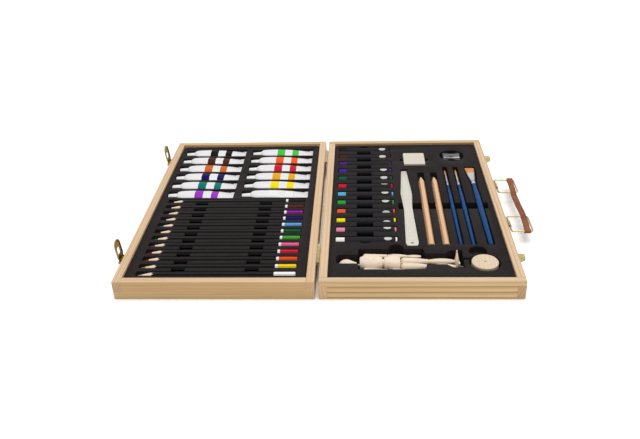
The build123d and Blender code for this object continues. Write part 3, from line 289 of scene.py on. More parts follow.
def make_wrapper():
    """Black paper with a plain white oval, set by the piece's own map in millimetres."""
    oval_half_length, oval_half_width = 4.6, 2.6
    s = Surface("wrapper", (0.02, 0.02, 0.022), 0.5, specular=0.05)
    place = s.node("SeparateXYZ", {"Vector": s.node("UVMap", uv_map="place").outputs[0]}).outputs
    along = s.math("POWER", s.math("DIVIDE", place[0], oval_half_length), 2.0)
    around = s.math("POWER", s.math("DIVIDE", place[1], oval_half_width), 2.0)
    inside = s.math("LESS_THAN", s.math("ADD", along, around), 1.0)
    fibres = s.noise(even(900.0))
    black = s.ramp(fibres, [(0.3, (0.010, 0.010, 0.012)), (0.7, (0.022, 0.022, 0.026))])
    s.into("Base Color", s.mix(inside, black, (0.58, 0.58, 0.56)))
    s.bump(fibres, 0.25, 0.0002)
    return s.material


# Materials
PINE_LIGHT, PINE_PALE, PINE_WARM = (0.73, 0.53, 0.34), (0.83, 0.665, 0.46), (0.625, 0.43, 0.225)
PINE_DARK = (0.42, 0.24, 0.11)
HINGE_RAIL_END = (1.04, 0.96, 0.84)


def pine(name, along, centre, light=PINE_LIGHT, **more):
    return wood("pine_" + name, along, light, PINE_DARK, centre, **more)


# The front rails' side tints are painted shade on their upright faces, which light from above leaves darker
# than the tops.
case_woods = {
    "base_front_rail": pine("base_front", "X", (0, -160, -52), PINE_PALE, spacing=6.4, contrast=0.9,
                            lines=0.7, side=(0.965, 0.855, 0.645)),
    "lid_front_rail": pine("lid_front", "X", (0, -176, -30), spacing=3.4, contrast=0.35,
                           lines=0.9, side=(0.97, 0.90, 0.72)),
    "base_back_rail": pine("base_back", "X", (0, 150, -58), PINE_WARM, spacing=4.8),
    "lid_back_rail": pine("lid_back", "X", (0, 160, -48), PINE_WARM, spacing=4.4),
    "base_hinge_rail": pine("base_hinge", "Y", (-40, 0, 4), spacing=4.0, contrast=0.4,
                            end=HINGE_RAIL_END),
    "lid_hinge_rail": pine("lid_hinge", "Y", (46, 0, -8), spacing=3.6, contrast=0.4,
                           end=HINGE_RAIL_END),
    "base_handle_rail": pine("handle", "Y", (262, 0, -12), spacing=3.8, contrast=0.6,
                             end=(0.90, 0.82, 0.70)),
    "lid_latch_rail": pine("latch", "Y", (-180, 0, 2), spacing=3.4, contrast=0.6),
    "base_panel": pine("panel_base", "Y", (90, 0, -60), spacing=9.0, contrast=0.6),
    "lid_panel": pine("panel_lid", "Y", (-130, 0, -75), spacing=8.0, contrast=0.6),
}
beech = wood("beech", "X", (0.89, 0.765, 0.62), (0.78, 0.60, 0.42), (0, -118, -40), spacing=2.2,
             contrast=0.45, roughness=0.42, lines=0.3)
beech_disc = wood("beech_disc", "Y", (0.735, 0.60, 0.435), (0.60, 0.44, 0.28), (150, 0, -20),
                  spacing=2.6, contrast=0.5, lines=0.35)
cedar = wood("cedar", "X", (0.90, 0.76, 0.58), (0.74, 0.54, 0.36), (0, -60, -10), spacing=2.2,
             contrast=0.4)
graphite_wood = wood("graphite_wood", "Y", (0.80, 0.50, 0.28), (0.60, 0.32, 0.15), (100, 0, -10),
                     spacing=2.5, contrast=0.5, roughness=0.3)
tray_black = speckled("tray_black", (0.020, 0.0155, 0.0157), 0.5, 0.55, specular=0.04, size=1300.0,
                      bump=0.35)
# A lighter black for the trays' rolled rims and rounded edges: a painted highlight.
tray_rim_highlight = speckled("tray_rim_highlight", (0.11, 0.098, 0.096), 0.3, 0.4, specular=0.3, size=1300.0)
brass = metal("brass", (0.46, 0.32, 0.11), 0.2, 0.5)
pale_brass = metal("pale_brass", (0.56, 0.47, 0.24), 0.3, 0.3)
steel = metal("steel", (0.20, 0.20, 0.21), 0.25, 0.5, brushed="X")
aluminium = metal("aluminium", (0.56, 0.54, 0.56), 0.34, 0.05, brushed="Y")
# Nearly black metal: painted shade of the dark recess that the sharpener lies in.
sharpener_metal = metal("sharpener_metal", (0.045, 0.045, 0.048), 0.3, 0.5, brushed="Z")
tube_white = speckled("tube_white", (0.745, 0.735, 0.745), 0.04, 0.3, size=300.0, bump=0.05)
cap_white = speckled("cap_white", (0.78, 0.775, 0.765), 0.03, 0.35, size=500.0, bump=0.05)
paint_black = speckled("paint_black", (0.008, 0.007, 0.007), 0.2, 0.25, specular=0.07, size=400.0,
                       bump=0.03)
paint_white = speckled("paint_white", (0.88, 0.88, 0.87), 0.02, 0.2, size=400.0, bump=0.03)
eraser_white = speckled("eraser_white", (0.64, 0.59, 0.495), 0.05, 0.65, size=700.0, bump=0.25)
knife_grey = speckled("knife_grey", (0.635, 0.60, 0.515), 0.04, 0.35, size=300.0, bump=0.06)
blue_lacquer = speckled("blue_lacquer", (0.004, 0.056, 0.180), 0.15, 0.2, specular=0.07, size=250.0,
                        bump=0.02)
thread = speckled("thread", (0.16, 0.045, 0.02), 0.3, 0.6, size=3000.0)
graphite_black = speckled("graphite_black", (0.05, 0.05, 0.055), 0.2, 0.35, size=600.0)
leather, bristle, wrapper_paper = make_leather(), make_bristle(), make_wrapper()


# Mesh tools
def finish_piece(name, mesh, materials, node, slot, sharp=35, replaces=True):
    """Shades a mesh, with edges past sharp degrees kept hard. The piece rides on a CAD node's body and
    replaces the node, or else adds to it."""
    for material in materials:
        mesh.materials.append(material)
    mesh.shade_smooth()
    mesh.set_sharp_from_angle(angle=radians(sharp))
    piece = bpy.data.objects.new(name, mesh)
    scene.collection.objects.link(piece)
    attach(piece, nodes[node]["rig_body"])
    if replaces:
        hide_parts(node)


class Builder:
    """Collects rings of points into one mesh with several materials."""

    def __init__(self):
        self.verts, self.faces, self.mats, self.uvs = [], [], [], []

    def loft(self, rings, mats=None, caps=(None, None), uvs=None):
        """Quads between rings. mats has a material index for each span, caps one for each end.
        uvs gives the map's place of a ring's point."""
        count = len(rings[0])
        base = len(self.verts)
        mats = mats or [0] * (len(rings) - 1)
        for ring in rings:
            self.verts += [tuple(c * MM for c in p) for p in ring]
        for i in range(len(rings) - 1):
            for j in range(count):
                k = (j + 1) % count
                a, b = base + i * count, base + (i + 1) * count
                self.faces.append((a + j, a + k, b + k, b + j))
                self.mats.append(mats[i])
                if uvs:
                    self.uvs += [uvs(i, j), uvs(i, j + 1), uvs(i + 1, j + 1), uvs(i + 1, j)]
        for end, mat in zip((0, len(rings) - 1), caps):
            if mat is not None:
                start = base + end * count
                face = tuple(range(start, start + count))
                self.faces.append(face if end else face[::-1])
                self.mats.append(mat)

    def finish(self, name, materials, node, slot, **more):
        """Makes the mesh, with its map if it has one, and the piece."""
        mesh = bpy.data.meshes.new(name)
        mesh.from_pydata(self.verts, [], self.faces)
        mesh.polygons.foreach_set("material_index", self.mats)
        if self.uvs:
            layer = mesh.uv_layers.new(name="place")
            layer.data.foreach_set("uv", [c for uv in self.uvs for c in uv])
        mesh.update()
        bm = bmesh.new()
        bm.from_mesh(mesh)
        bmesh.ops.recalc_face_normals(bm, faces=bm.faces)
        bm.to_mesh(mesh)
        bm.free()
        finish_piece(name, mesh, materials, node, slot, **more)


def angles(count):
    return [2 * pi * j / count for j in range(count)]


def circle_x(x, y, z, radius, count):
    """Ring of points about a line along X."""
    return [(x, y + radius * cos(a), z + radius * sin(a)) for a in angles(count)]


def ellipse_y(x, y, z, across, up, count):
    """Ring of points about a line along Y."""
    return [(x + across * cos(a), y, z + up * sin(a)) for a in angles(count)]


def circle_y(x, y, z, radius, count):
    return ellipse_y(x, y, z, radius, radius, count)


def signed_power(value, power):
    """A power that keeps the sign. Of a sine and cosine, it squares a circle's outline."""
    return abs(value) ** power * (1 if value >= 0 else -1)


def roll_edge(bm, radius, material):
    """Rounds the outer top edge of a formed sheet, where it turns down to its skirt."""
    near = 0.02 * MM
    low = [min(v.co[i] for v in bm.verts) for i in range(3)]
    high = [max(v.co[i] for v in bm.verts) for i in range(3)]

    def outer(edge):
        if any(v.co.z < high[2] - near for v in edge.verts):
            return False
        return any(all(abs(v.co[i] - side[i]) < near for v in edge.verts)
                   for i in (0, 1) for side in (low, high))

    edges = [edge for edge in bm.edges if outer(edge)]
    bmesh.ops.bevel(bm, geom=edges, offset=radius * MM, offset_type="OFFSET", segments=3, profile=0.5,
                    affect="EDGES", clamp_overlap=True, material=material)
    bmesh.ops.dissolve_degenerate(bm, dist=near, edges=bm.edges)


def bevelled(node, materials, width, slot, segments=2, angle=28, rim=-1, rolled=0):
    """The CAD node's own shape with its hard edges rounded a little.
    rim is the index of the rounded edges' material, or -1 for the faces' own. A lighter material there is a
    painted highlight."""
    mesh = nodes[node].data.copy()
    mesh.name = node + "_dressed"
    mesh.materials.clear()
    bm = bmesh.new()
    bm.from_mesh(mesh)
    bmesh.ops.remove_doubles(bm, verts=bm.verts, dist=0.002 * MM)
    bmesh.ops.dissolve_limit(bm, angle_limit=radians(1.5), verts=bm.verts, edges=bm.edges)
    if rolled:
        roll_edge(bm, rolled, rim)
    bm.to_mesh(mesh)
    bm.free()
    draft = bpy.data.objects.new(node + "_dressed", mesh)
    scene.collection.objects.link(draft)
    modifier = draft.modifiers.new("round", "BEVEL")
    modifier.width = width * MM
    modifier.segments = segments
    modifier.limit_method = "ANGLE"
    modifier.angle_limit = radians(angle)
    modifier.use_clamp_overlap = True
    modifier.material = rim
    graph = bpy.context.evaluated_depsgraph_get()
    rounded = bpy.data.meshes.new_from_object(draft.evaluated_get(graph))
    bpy.data.objects.remove(draft)
    finish_piece(node + "_dressed", rounded, materials, node, slot, sharp=40)


def paint_node(node, material):
    mesh = nodes[node].data
    mesh.materials.clear()
    mesh.materials.append(material)


# Wooden case and trays
for node, material in case_woods.items():
    bevelled(node, [material], 0.3 if node.endswith("panel") else 0.5, "pine")
# The trays' rolled rims and rounded edges take a lighter black than the faces: a painted highlight.
for half in ("base", "lid"):
    bevelled(f"{half}_tray", [tray_black, tray_rim_highlight], 0.35, "tray", angle=50, rim=1, rolled=1.8)

# Metalwork
for node in ("base_screws", "lid_screws", "latch_pins", "front_latch_plate", "back_latch_plate"):
    paint_node(node, brass)
for node in ("base_hinge_leaves", "lid_hinge_leaves", "hinge_pins", "front_handle_ring",
             "back_handle_ring", "front_handle_bracket", "back_handle_bracket"):
    paint_node(node, pale_brass)

# Latch loops: u runs across a loop, v from its pin to its tip, w out of its face
PIN_X, _, PIN_Z = middle("latch_pins")
LATCH_LEAN = radians(6.0)
LATCH_POINTS = 64
WINDOW_MIDDLE, WINDOW_HALF_WIDTH, WINDOW_HALF_HEIGHT = 12.25, 4.0, 4.25
NECK_HALF, LOOP_HALF = 6.4, 8.2
SHOULDER_START, SHOULDER = 3.2, 1.8
ROUND_START, ROUND_HEIGHT, LOOP_TOP = 18, 8, 25.9


def in_loop(u, v):
    """Inside a loop's outline, which is narrow at the pin, wide above it and round at the tip."""
    if v < 0:
        return False
    if v > ROUND_START:
        return v < LOOP_TOP and u < LOOP_HALF * (1 - ((v - ROUND_START) / ROUND_HEIGHT) ** 2) ** 0.5
    return u < NECK_HALF + SHOULDER * max(0.0, min(1.0, (v - SHOULDER_START) / SHOULDER))


def loop_reach(angle):
    """How far a loop's outline lies from its window's middle, found by halving."""
    low, high = 0.0, 20.0
    for _ in range(24):
        tried = (low + high) / 2
        if in_loop(abs(tried * cos(angle)), WINDOW_MIDDLE + tried * sin(angle)):
            low = tried
        else:
            high = tried
    return low


def make_loop(name):
    """A pressed loop with a turned rim, and the barrel round its pin."""
    node = f"{name}_latch_loop"
    y0 = middle(node)[1]
    turns = angles(LATCH_POINTS)
    reach = [loop_reach(a) for a in turns]

    def at(u, v, w):
        return (PIN_X - v * sin(LATCH_LEAN) - w * cos(LATCH_LEAN), y0 - u,
                PIN_Z + v * cos(LATCH_LEAN) - w * sin(LATCH_LEAN))

    def outline(inset, w):
        return [at((r - inset) * cos(a), WINDOW_MIDDLE + (r - inset) * sin(a), w)
                for a, r in zip(turns, reach)]

    def window(grow, w):
        return [at((WINDOW_HALF_WIDTH + grow) * signed_power(cos(a), 0.35),
                   WINDOW_MIDDLE + (WINDOW_HALF_HEIGHT + grow) * signed_power(sin(a), 0.35), w)
                for a in turns]

    build = Builder()
    build.loft([window(0, 0.45), window(0.3, 0.6), outline(1.2, 0.6), outline(0.5, 0.5),
                outline(0.0, -0.1), outline(0.0, -1.3), outline(0.5, -1.4), outline(0.65, -0.4),
                window(0.3, -0.5), window(0, -0.35), window(0, 0.45)])
    barrel = ((-6.5, 1.2), (-6.3, 1.55), (6.3, 1.55), (6.5, 1.2))
    build.loft([circle_y(PIN_X, y0 + y, PIN_Z, r, 24) for y, r in barrel], caps=(0, 0))
    build.finish(f"{name}_latch_loop_pressed", [brass], node, "brass", sharp=30)


# Catches: a hook that a loop's window closes over, on a flat plate. The profile starts at the rail's
# outer face and the rim.
RAIL_FACE_X, _, RIM_Z = box("base_handle_rail")[1]
HOOK_PROFILE = ((0.5, -2.1), (6.3, -2.0), (7.5, -2.4), (8.1, -3.4), (8.1, -6.6), (7.6, -7.6),
                (6.8, -8.0), (3.2, -9.5), (0.5, -9.8))
HOOK_MIDDLE = (3.8, -5.5)
PLATE_HALF_WIDTH, PLATE_HALF_HEIGHT = 7.4, 6


def make_catch(name):
    node = f"{name}_catch"
    _, y0, plate_z = middle(node)
    build = Builder()
    rings = []
    for y, inset in ((-3.5, 0.25), (-3.25, 0.0), (3.25, 0.0), (3.5, 0.25)):
        rings.append([(RAIL_FACE_X + x - inset * (1 if x > HOOK_MIDDLE[0] else -1), y0 + y,
                       RIM_Z + z - inset * (1 if z > HOOK_MIDDLE[1] else -1)) for x, z in HOOK_PROFILE])
    build.loft(rings, caps=(0, 0))
    plate = []
    for x, inset in ((0.0, 0.0), (0.7, 0.0), (0.95, 0.25)):
        plate.append([(RAIL_FACE_X + x, y0 + (PLATE_HALF_WIDTH - inset) * signed_power(cos(a), 0.3),
                       plate_z + (PLATE_HALF_HEIGHT - inset) * signed_power(sin(a), 0.3))
                      for a in angles(LATCH_POINTS)])
    build.loft(plate, caps=(0, 0))
    build.finish(f"{name}_catch_hooked", [pale_brass], node, "brass", sharp=30)


for name in ("front", "back"):
    make_loop(name)
    make_catch(name)

# Handle strap
STRAP_Z = middle("handle_strap")[2]
STRAP_TURNS = ((-80, 245.4), (-66, 245.4), (-46, 246.6), (-24, 247.0), (0, 245.8), (22, 245.2),
               (44, 246.4), (66, 247.0), (80, 247.0))
WIRE_RADIUS = 1.0
WIRE_Y = box("back_handle_ring")[1][1] - WIRE_RADIUS     # the wires that the strap is folded round
LEAF, LEAF_EDGE = 1.05, 0.3
STITCHES, STITCH_PITCH, STITCH_HALF, STITCH_START = 13, 4.2, 1.3, 57.5


def strap_x(y):
    """Where the strap's middle line runs: a little crooked between the rings, as it hangs."""
    for (y0, x0), (y1, x1) in zip(STRAP_TURNS, STRAP_TURNS[1:]):
        if y0 <= y <= y1:
            t = (y - y0) / (y1 - y0)
            return x0 + (x1 - x0) * t * t * (3 - 2 * t)


def near_wire(y):
    """1 at a ring's wire and 0 from 9 mm away."""
    return max(0.0, 1 - abs(abs(y) - WIRE_Y) / 9.0)


def leaf_lift(y):
    """How far a leaf's inner face lies from the strap's middle plane. It opens round the wire."""
    return 0.15 + 1.25 * near_wire(y) ** 1.5


def strap_half(y):
    """Half the strap's width, a little more where it is bent round the wire."""
    return 3.5 + 0.2 * near_wire(y)


def make_strap():
    """A leather strap folded round each ring's outer wire and sewn to itself."""
    build = Builder()
    for side in (1, -1):
        rings = []
        for y in spaced(-WIRE_Y, WIRE_Y, 41):
            x, half = strap_x(y), strap_half(y)
            low, high = STRAP_Z + side * leaf_lift(y), STRAP_Z + side * (leaf_lift(y) + LEAF)
            rings.append([(x - half, y, low), (x - half, y, high - side * LEAF_EDGE),
                          (x - half + LEAF_EDGE, y, high), (x, y, high + side * 0.08),
                          (x + half - LEAF_EDGE, y, high), (x + half, y, high - side * LEAF_EDGE),
                          (x + half, y, low)])
        build.loft(rings, caps=(0, 0))
    for end in (1, -1):
        x, half, inner = strap_x(end * WIRE_Y), strap_half(WIRE_Y), leaf_lift(WIRE_Y)
        outer = inner + LEAF
        rings = []
        for a in spaced(pi / 2, -pi / 2, 13):
            near = (end * (WIRE_Y + inner * cos(a)), STRAP_Z + inner * sin(a))
            far = (end * (WIRE_Y + outer * cos(a)), STRAP_Z + outer * sin(a))
            rings.append([(x - half, *near), (x + half, *near), (x + half, *far), (x - half, *far)])
        build.loft(rings, caps=(0, 0))
    for end in (1, -1):
        for side in (1, -1):
            for i in range(STITCHES):
                y = end * (STITCH_START - STITCH_PITCH * i)
                z = STRAP_Z + side * (leaf_lift(y) + LEAF + 0.12)
                for edge in (-1.9, 1.9):
                    x = strap_x(y) + edge
                    build.loft([ellipse_y(x, y + d, z, 0.22, 0.2, 8) for d in (-STITCH_HALF, STITCH_HALF)],
                               [1], caps=(1, 1))
    build.finish("handle_strap_sewn", [leather, thread], "handle_strap", "leather", sharp=40)


make_strap()

# Paint tubes, in two columns. A tube's stations run from its cap's end, and its colours from the back.
BAND_SHADES = (
    ((0.005, 0.003, 0.003), (0.060, 0.013, 0.006), (0.58, 0.12, 0.010), (0.009, 0.003, 0.085),
     (0.0, 0.17, 0.14), (0.30, 0.035, 0.50)),
    ((0.05, 0.50, 0.06), (0.80, 0.10, 0.010), (0.58, 0.008, 0.03), (0.80, 0.36, 0.010),
     (0.85, 0.70, 0.005), (0.80, 0.80, 0.79)),
)
CAP_LENGTH, BODY_START, CRIMP_START = 11.5, 19.5, 82.5
NECK_RADIUS, BODY_HALF_WIDTH, BODY_HALF_HEIGHT = 4.9, 10.5, 7.7
TUBE_STATIONS = (11.6, 11.9, 12.5, 13.5, 15, 16.8, 18.4, 19.5, 22, 26, 30, 36, 38, 41.5, 45, 47, 49,
                 53, 57.5, 59, 62, 65, 66.5, 69, 72, 75, 78, 80.5, 82.5)
BANDS = ((36, 47), (57.5, 66.5))
CRIMP_HALF_WIDTH, CRIMP_HALF_HEIGHT = 11.0, 0.8
CRIMP_PROFILE = ((81.6, 1.0), (81.8, 1.35), (83.2, 1.4), (83.4, 1.0), (83.8, 1.0), (84.0, 1.4),
                 (86.6, 1.4), (87.0, 1.1))
CRIMP_SECTION = ((-1, -0.6), (-0.98, -1), (0.98, -1), (1, -0.6), (1, 0.6), (0.98, 1), (-0.98, 1),
                 (-1, 0.6))
CAP_PROFILE = ((0.0, 3.7), (0.2, 4.2), (0.7, 4.45), (11.0, 5.25), (11.5, 5.1))
CAP_RIBS, RIB_DEPTH, RIB_START, RIB_END = 24, 0.14, 0.5, 11.2
TUBE_Z = middle("tube_caps")[2]
TUBE_COLUMNS = (box("tube_caps")[0][0], box("tube_caps")[1][0] - CAP_LENGTH)
TUBE_ROWS = spaced(box("paint_tubes")[1][1] - CRIMP_HALF_WIDTH,
                   box("paint_tubes")[0][1] + CRIMP_HALF_WIDTH, 6)


def tube_section(x, y, start, count=40):
    """The body's cross-section: a round shoulder, then ever flatter towards the crimp."""
    if x < BODY_START:
        swell = 1 - (x - CAP_LENGTH) / (BODY_START - CAP_LENGTH)
        swell = (1 - swell ** 2.2) ** 0.5
        half = NECK_RADIUS + (BODY_HALF_WIDTH - NECK_RADIUS) * swell
        up = NECK_RADIUS + (BODY_HALF_HEIGHT - NECK_RADIUS) * swell
        t = 0.0
    else:
        t = (x - BODY_START) / (CRIMP_START - BODY_START)
        half = BODY_HALF_WIDTH + (CRIMP_HALF_WIDTH - BODY_HALF_WIDTH) * t
        up = BODY_HALF_HEIGHT + (CRIMP_HALF_HEIGHT - BODY_HALF_HEIGHT) * t ** 2.7
    power = 2 / (2.0 + 0.9 * t ** 0.5)
    ring = []
    for a in angles(count):
        u = half * signed_power(cos(a), power)
        v = up * signed_power(sin(a), power)
        crease = noise.noise(Vector((x * 0.10 + start, u * 0.16, y))) * 1.6 * t * (1 - t)
        ring.append((start + x, y + u, TUBE_Z + v * (1 + 0.12 * crease) - 0.25 * abs(crease)))
    return ring


def make_tube_bodies():
    build = Builder()
    materials = [tube_white]
    for start, shades in zip(TUBE_COLUMNS, BAND_SHADES):
        for y, shade in zip(TUBE_ROWS, shades):
            band = len(materials)
            materials.append(small_colour(f"band_{band}", shade, roughness=0.25))
            rings = [tube_section(x, y, start) for x in TUBE_STATIONS]
            mats = [band if any(low <= x < high for low, high in BANDS) else 0
                    for x in TUBE_STATIONS[:-1]]
            build.loft(rings, mats, caps=(0, 0))
            build.loft([[(start + x, y + CRIMP_HALF_WIDTH * u, TUBE_Z + up * v) for u, v in CRIMP_SECTION]
                        for x, up in CRIMP_PROFILE], caps=(0, 0))
    build.finish("tube_bodies", materials, "paint_tubes", "tube_metal", sharp=40)


def make_tube_caps():
    build = Builder()
    for start in TUBE_COLUMNS:
        for y in TUBE_ROWS:
            rings = []
            for x, radius in CAP_PROFILE:
                depth = RIB_DEPTH if RIB_START < x < RIB_END else 0.0
                ring = []
                for j, a in enumerate(angles(3 * CAP_RIBS)):
                    r = radius - depth * (j % 3 == 0)
                    ring.append((start + x, y + r * cos(a), TUBE_Z + r * sin(a)))
                rings.append(ring)
            build.loft(rings, caps=(0, 0))
    build.finish("tube_caps_ribbed", [cap_white], "tube_caps", "cap", sharp=25)


make_tube_bodies()
make_tube_caps()

# Pencils. The colours run from the back row.
TIP_RADIUS = 0.25
PENCIL_SHADES = (
    (0.010, 0.010, 0.010), (0.09, 0.018, 0.014), (0.27, 0.010, 0.30), (0.010, 0.008, 0.10),
    (0.10, 0.32, 0.66), (0.005, 0.09, 0.03), (0.05, 0.34, 0.03), (0.75, 0.12, 0.25),
    (0.60, 0.010, 0.04), (0.75, 0.075, 0.012), (0.80, 0.62, 0.010), (0.86, 0.86, 0.85))
PENCIL_BACK_Y, PENCIL_PITCH = 6.0, 15.0
PENCIL_CONE, PENCIL_LEAD = 18.5, 5.5
DRAWING_CONE, DRAWING_LEAD = 17.0, 3.4
RIGHT, BACK, UP = Vector((1, 0, 0)), Vector((0, 1, 0)), Vector((0, 0, 1))


def corner_radius(flats):
    """How far the corners of a six-sided body lie from its middle. flats is its width across flats."""
    return flats / 2 / cos(pi / 6)


def hex_pencil(build, origin, along, across, length, flats, cone, lead, tip, bands, end):
    """A six-sided pencil whose sharpened cone meets the flats in scallops.
    Its bare wood is the builder's first material. bands holds where each stretch of the body ends,
    with its material. tip and end are the materials of the two ends."""
    slope = (corner_radius(flats) - TIP_RADIUS) / cone

    def flat_radius(a):
        return flats / 2 / cos((a % (pi / 3)) - pi / 6)

    def scallop(a):
        return (flat_radius(a) - TIP_RADIUS) / slope

    def ring(distance, radius):
        places = []
        for turn in angles(48):
            a = turn + pi / 2 + pi / 6
            r = radius(a) if callable(radius) else radius
            d = distance(a) if callable(distance) else distance
            places.append(tuple(origin + along * d + across * (r * cos(a)) + UP * (r * sin(a))))
        return places

    lead_radius = TIP_RADIUS + slope * lead
    rings = [ring(0.0, 0.22), ring(lead, lead_radius), ring(lead + 0.01, lead_radius + 0.02),
             ring(scallop, flat_radius)]
    mats = [tip, 0, 0]
    for distance, material in bands:
        rings.append(ring(distance, flat_radius))
        mats.append(material)
    rings.append(ring(length, lambda a: flat_radius(a) - 0.35))
    mats.append(bands[-1][1])
    build.loft(rings, mats, caps=(tip, end))


def make_coloured_pencils():
    build = Builder()
    materials = [cedar, paint_black, paint_white]
    black, white = 1, 2
    low, high = box("colour_pencils")
    length, flats, z = high[0] - low[0], high[2] - low[2], middle("colour_pencils")[2]
    for row, shade in enumerate(PENCIL_SHADES):
        y = PENCIL_BACK_Y - PENCIL_PITCH * row
        tip, dip = len(materials), len(materials) + 1
        # A lead is 0.4 of its dip's colour: painted shade of the dark pocket round the tips.
        materials += [small_colour(f"lead_{row}", tuple(0.4 * c for c in shade), 0.55, 0.3),
                      small_colour(f"dip_{row}", shade, 0.2)]
        bands = [(24.0, black), (60.0, black), (151.7, black), (151.9, white), (154.5, white), (154.7, dip),
                 (174.4, dip)]
        hex_pencil(build, Vector((low[0], y, z)), RIGHT, BACK, length, flats, PENCIL_CONE, PENCIL_LEAD,
                   tip, bands, dip)
    build.finish("coloured_pencils", materials, "colour_pencils", "pencil_paint", sharp=25)


def make_drawing_pencils():
    build = Builder()
    low, high = box("graphite_pencils")
    length, flats, z = high[1] - low[1], high[2] - low[2], middle("graphite_pencils")[2]
    corner = corner_radius(flats)
    bare, graphite = 0, 1
    for x in (low[0] + corner, high[0] - corner):
        bands = [(24.0, bare), (80.0, bare), (150.0, bare), (173.6, bare)]
        hex_pencil(build, Vector((x, high[1], z)), -BACK, RIGHT, length, flats, DRAWING_CONE, DRAWING_LEAD,
                   graphite, bands, bare)
    build.finish("drawing_pencils", [graphite_wood, graphite_black], "graphite_pencils", "pencil_wood",
                 sharp=25)


make_coloured_pencils()
make_drawing_pencils()

# Oil pastels, from the back row. Each has its colour and how far its wrapper's oval is turned round.
# Their profiles run from the stick's left end.
PASTELS = (
    ((0.012, 0.012, 0.012), 0.30), ((0.08, 0.016, 0.012), 0.34), ((0.09, 0.012, 0.19), 0.80),
    ((0.055, 0.018, 0.32), 0.28), ((0.006, 0.10, 0.045), 0.31), ((0.60, 0.010, 0.025), 0.19),
    ((0.09, 0.42, 0.66), 0.26), ((0.02, 0.34, 0.035), 0.27), ((0.75, 0.10, 0.028), 0.40),
    ((0.82, 0.66, 0.008), 0.42), ((0.75, 0.23, 0.36), 0.24), ((0.85, 0.79, 0.74), 0.29))
STICK_RADIUS, PAPER_RADIUS, OVAL_AT = 5.0, 5.4, 61.1
STICK_PROFILE = ((0.0, 4.3), (0.3, 4.8), (0.9, STICK_RADIUS), (5.6, 4.97), (10.8, 4.98), (41.6, 4.98),
                 (68.8, 4.98), (71.2, 4.97), (71.7, 4.8), (72.0, 4.2))
PAPER_PROFILE = ((10.5, STICK_RADIUS), (10.6, PAPER_RADIUS), (21.6, PAPER_RADIUS), (33.6, 5.38),
                 (45.6, PAPER_RADIUS), (55.6, PAPER_RADIUS), (61.6, PAPER_RADIUS), (69.8, PAPER_RADIUS),
                 (69.9, STICK_RADIUS), (10.5, STICK_RADIUS))


def make_pastels():
    sticks, papers = Builder(), Builder()
    materials = []
    count = 48
    low, high = box("pastel_sticks")
    start, z = low[0], middle("pastel_sticks")[2]
    rows = spaced(high[1] - STICK_RADIUS, low[1] + STICK_RADIUS, len(PASTELS))
    for row, (y, (shade, turn)) in enumerate(zip(rows, PASTELS)):
        materials.append(small_colour(f"pastel_{row}", shade, 0.45, 0.5))
        sticks.loft([circle_x(start + x, y, z, r, 32) for x, r in STICK_PROFILE],
                    [row] * (len(STICK_PROFILE) - 1), caps=(row, row))

        def oval_place(i, j):
            return PAPER_PROFILE[i][0] - OVAL_AT, (j / count - turn) * 2 * pi * PAPER_RADIUS

        papers.loft([circle_x(start + x, y, z, r, count) for x, r in PAPER_PROFILE], uvs=oval_place)
    sticks.finish("pastel_sticks_waxy", materials, "pastel_sticks", "pastel")
    papers.finish("pastel_papers", [wrapper_paper], "pastel_wrappers", "wrapper")


make_pastels()

# Brushes: place across, handle's radius and ferrule's radius. Two are round and the last is flat.
BRUSHES = ((163.3, 2.55, 1.55), (177.6, 2.75, 1.85), (197.2, 3.75, 2.7))
BRUSH_FLOOR_Z = 13.9
BELLY = ((25, 0.93), (10, 0.99), (-15, 0.99), (-45, 0.93), (-75, 0.82), (-96, 0.72), (-99.3, 0.66),
         (-100.6, 0.42), (-101.0, 0.08))
ROUND_FERRULE = ((48.3, 1.03), (48.6, 1.09), (50.5, 1.09), (50.9, 1.0), (51.6, 1.0), (51.9, 1.08),
                 (53.2, 1.08), (53.5, 0.99), (66, 0.86), (79, 0.71), (79.0, 0.6))
ROUND_TUFT = ((78.6, 0.62), (80.5, 0.72), (84, 0.80), (88, 0.62), (91.5, 0.33), (94, 0.05))
FLAT_FERRULE = ((48.3, 2.68, 2.68), (48.7, 2.85, 2.85), (50.6, 2.85, 2.85), (51.0, 2.6, 2.6),
                (52.0, 2.6, 2.6), (52.3, 2.8, 2.8), (53.8, 2.8, 2.8), (54.1, 2.65, 2.6), (62, 3.4, 2.2),
                (72, 4.5, 1.6), (81, 5.3, 1.3), (81, 5.1, 1.1))
FLAT_TUFT = ((80.6, 5.05, 1.1), (84, 5.5, 1.25), (90, 5.95, 1.05), (95.2, 6.2, 0.75), (96.4, 6.15, 0.5))


def make_brushes():
    handles, ferrules, tufts = Builder(), Builder(), Builder()
    for x, radius, ferrule in BRUSHES:
        z = BRUSH_FLOOR_Z + radius
        profile = [(48.5, ferrule), (40, ferrule * 1.03)] + [(y, radius * k) for y, k in BELLY]
        handles.loft([circle_y(x, y, z, r, 32) for y, r in profile], caps=(0, 0))
    for x, radius, ferrule in BRUSHES[:2]:
        z = BRUSH_FLOOR_Z + radius
        ferrules.loft([circle_y(x, y, z, ferrule * k, 32) for y, k in ROUND_FERRULE], caps=(0, 0))
        tufts.loft([circle_y(x, y, z, ferrule * k, 24) for y, k in ROUND_TUFT], caps=(0, 0))
    x, radius, _ = BRUSHES[2]
    z = BRUSH_FLOOR_Z + radius
    ferrules.loft([ellipse_y(x, y, z, across, up, 40) for y, across, up in FLAT_FERRULE], caps=(0, 0))
    tufts.loft([ellipse_y(x, y, z, across, up, 40) for y, across, up in FLAT_TUFT], caps=(0, 0))
    handles.finish("brush_handles_lacquered", [blue_lacquer], "brush_handles", "handle_blue")
    ferrules.finish("brush_ferrules_crimped", [aluminium], "brush_ferrules", "aluminium", sharp=50)
    tufts.finish("brush_tufts", [bristle], "brush_bristles", "bristle")


make_brushes()

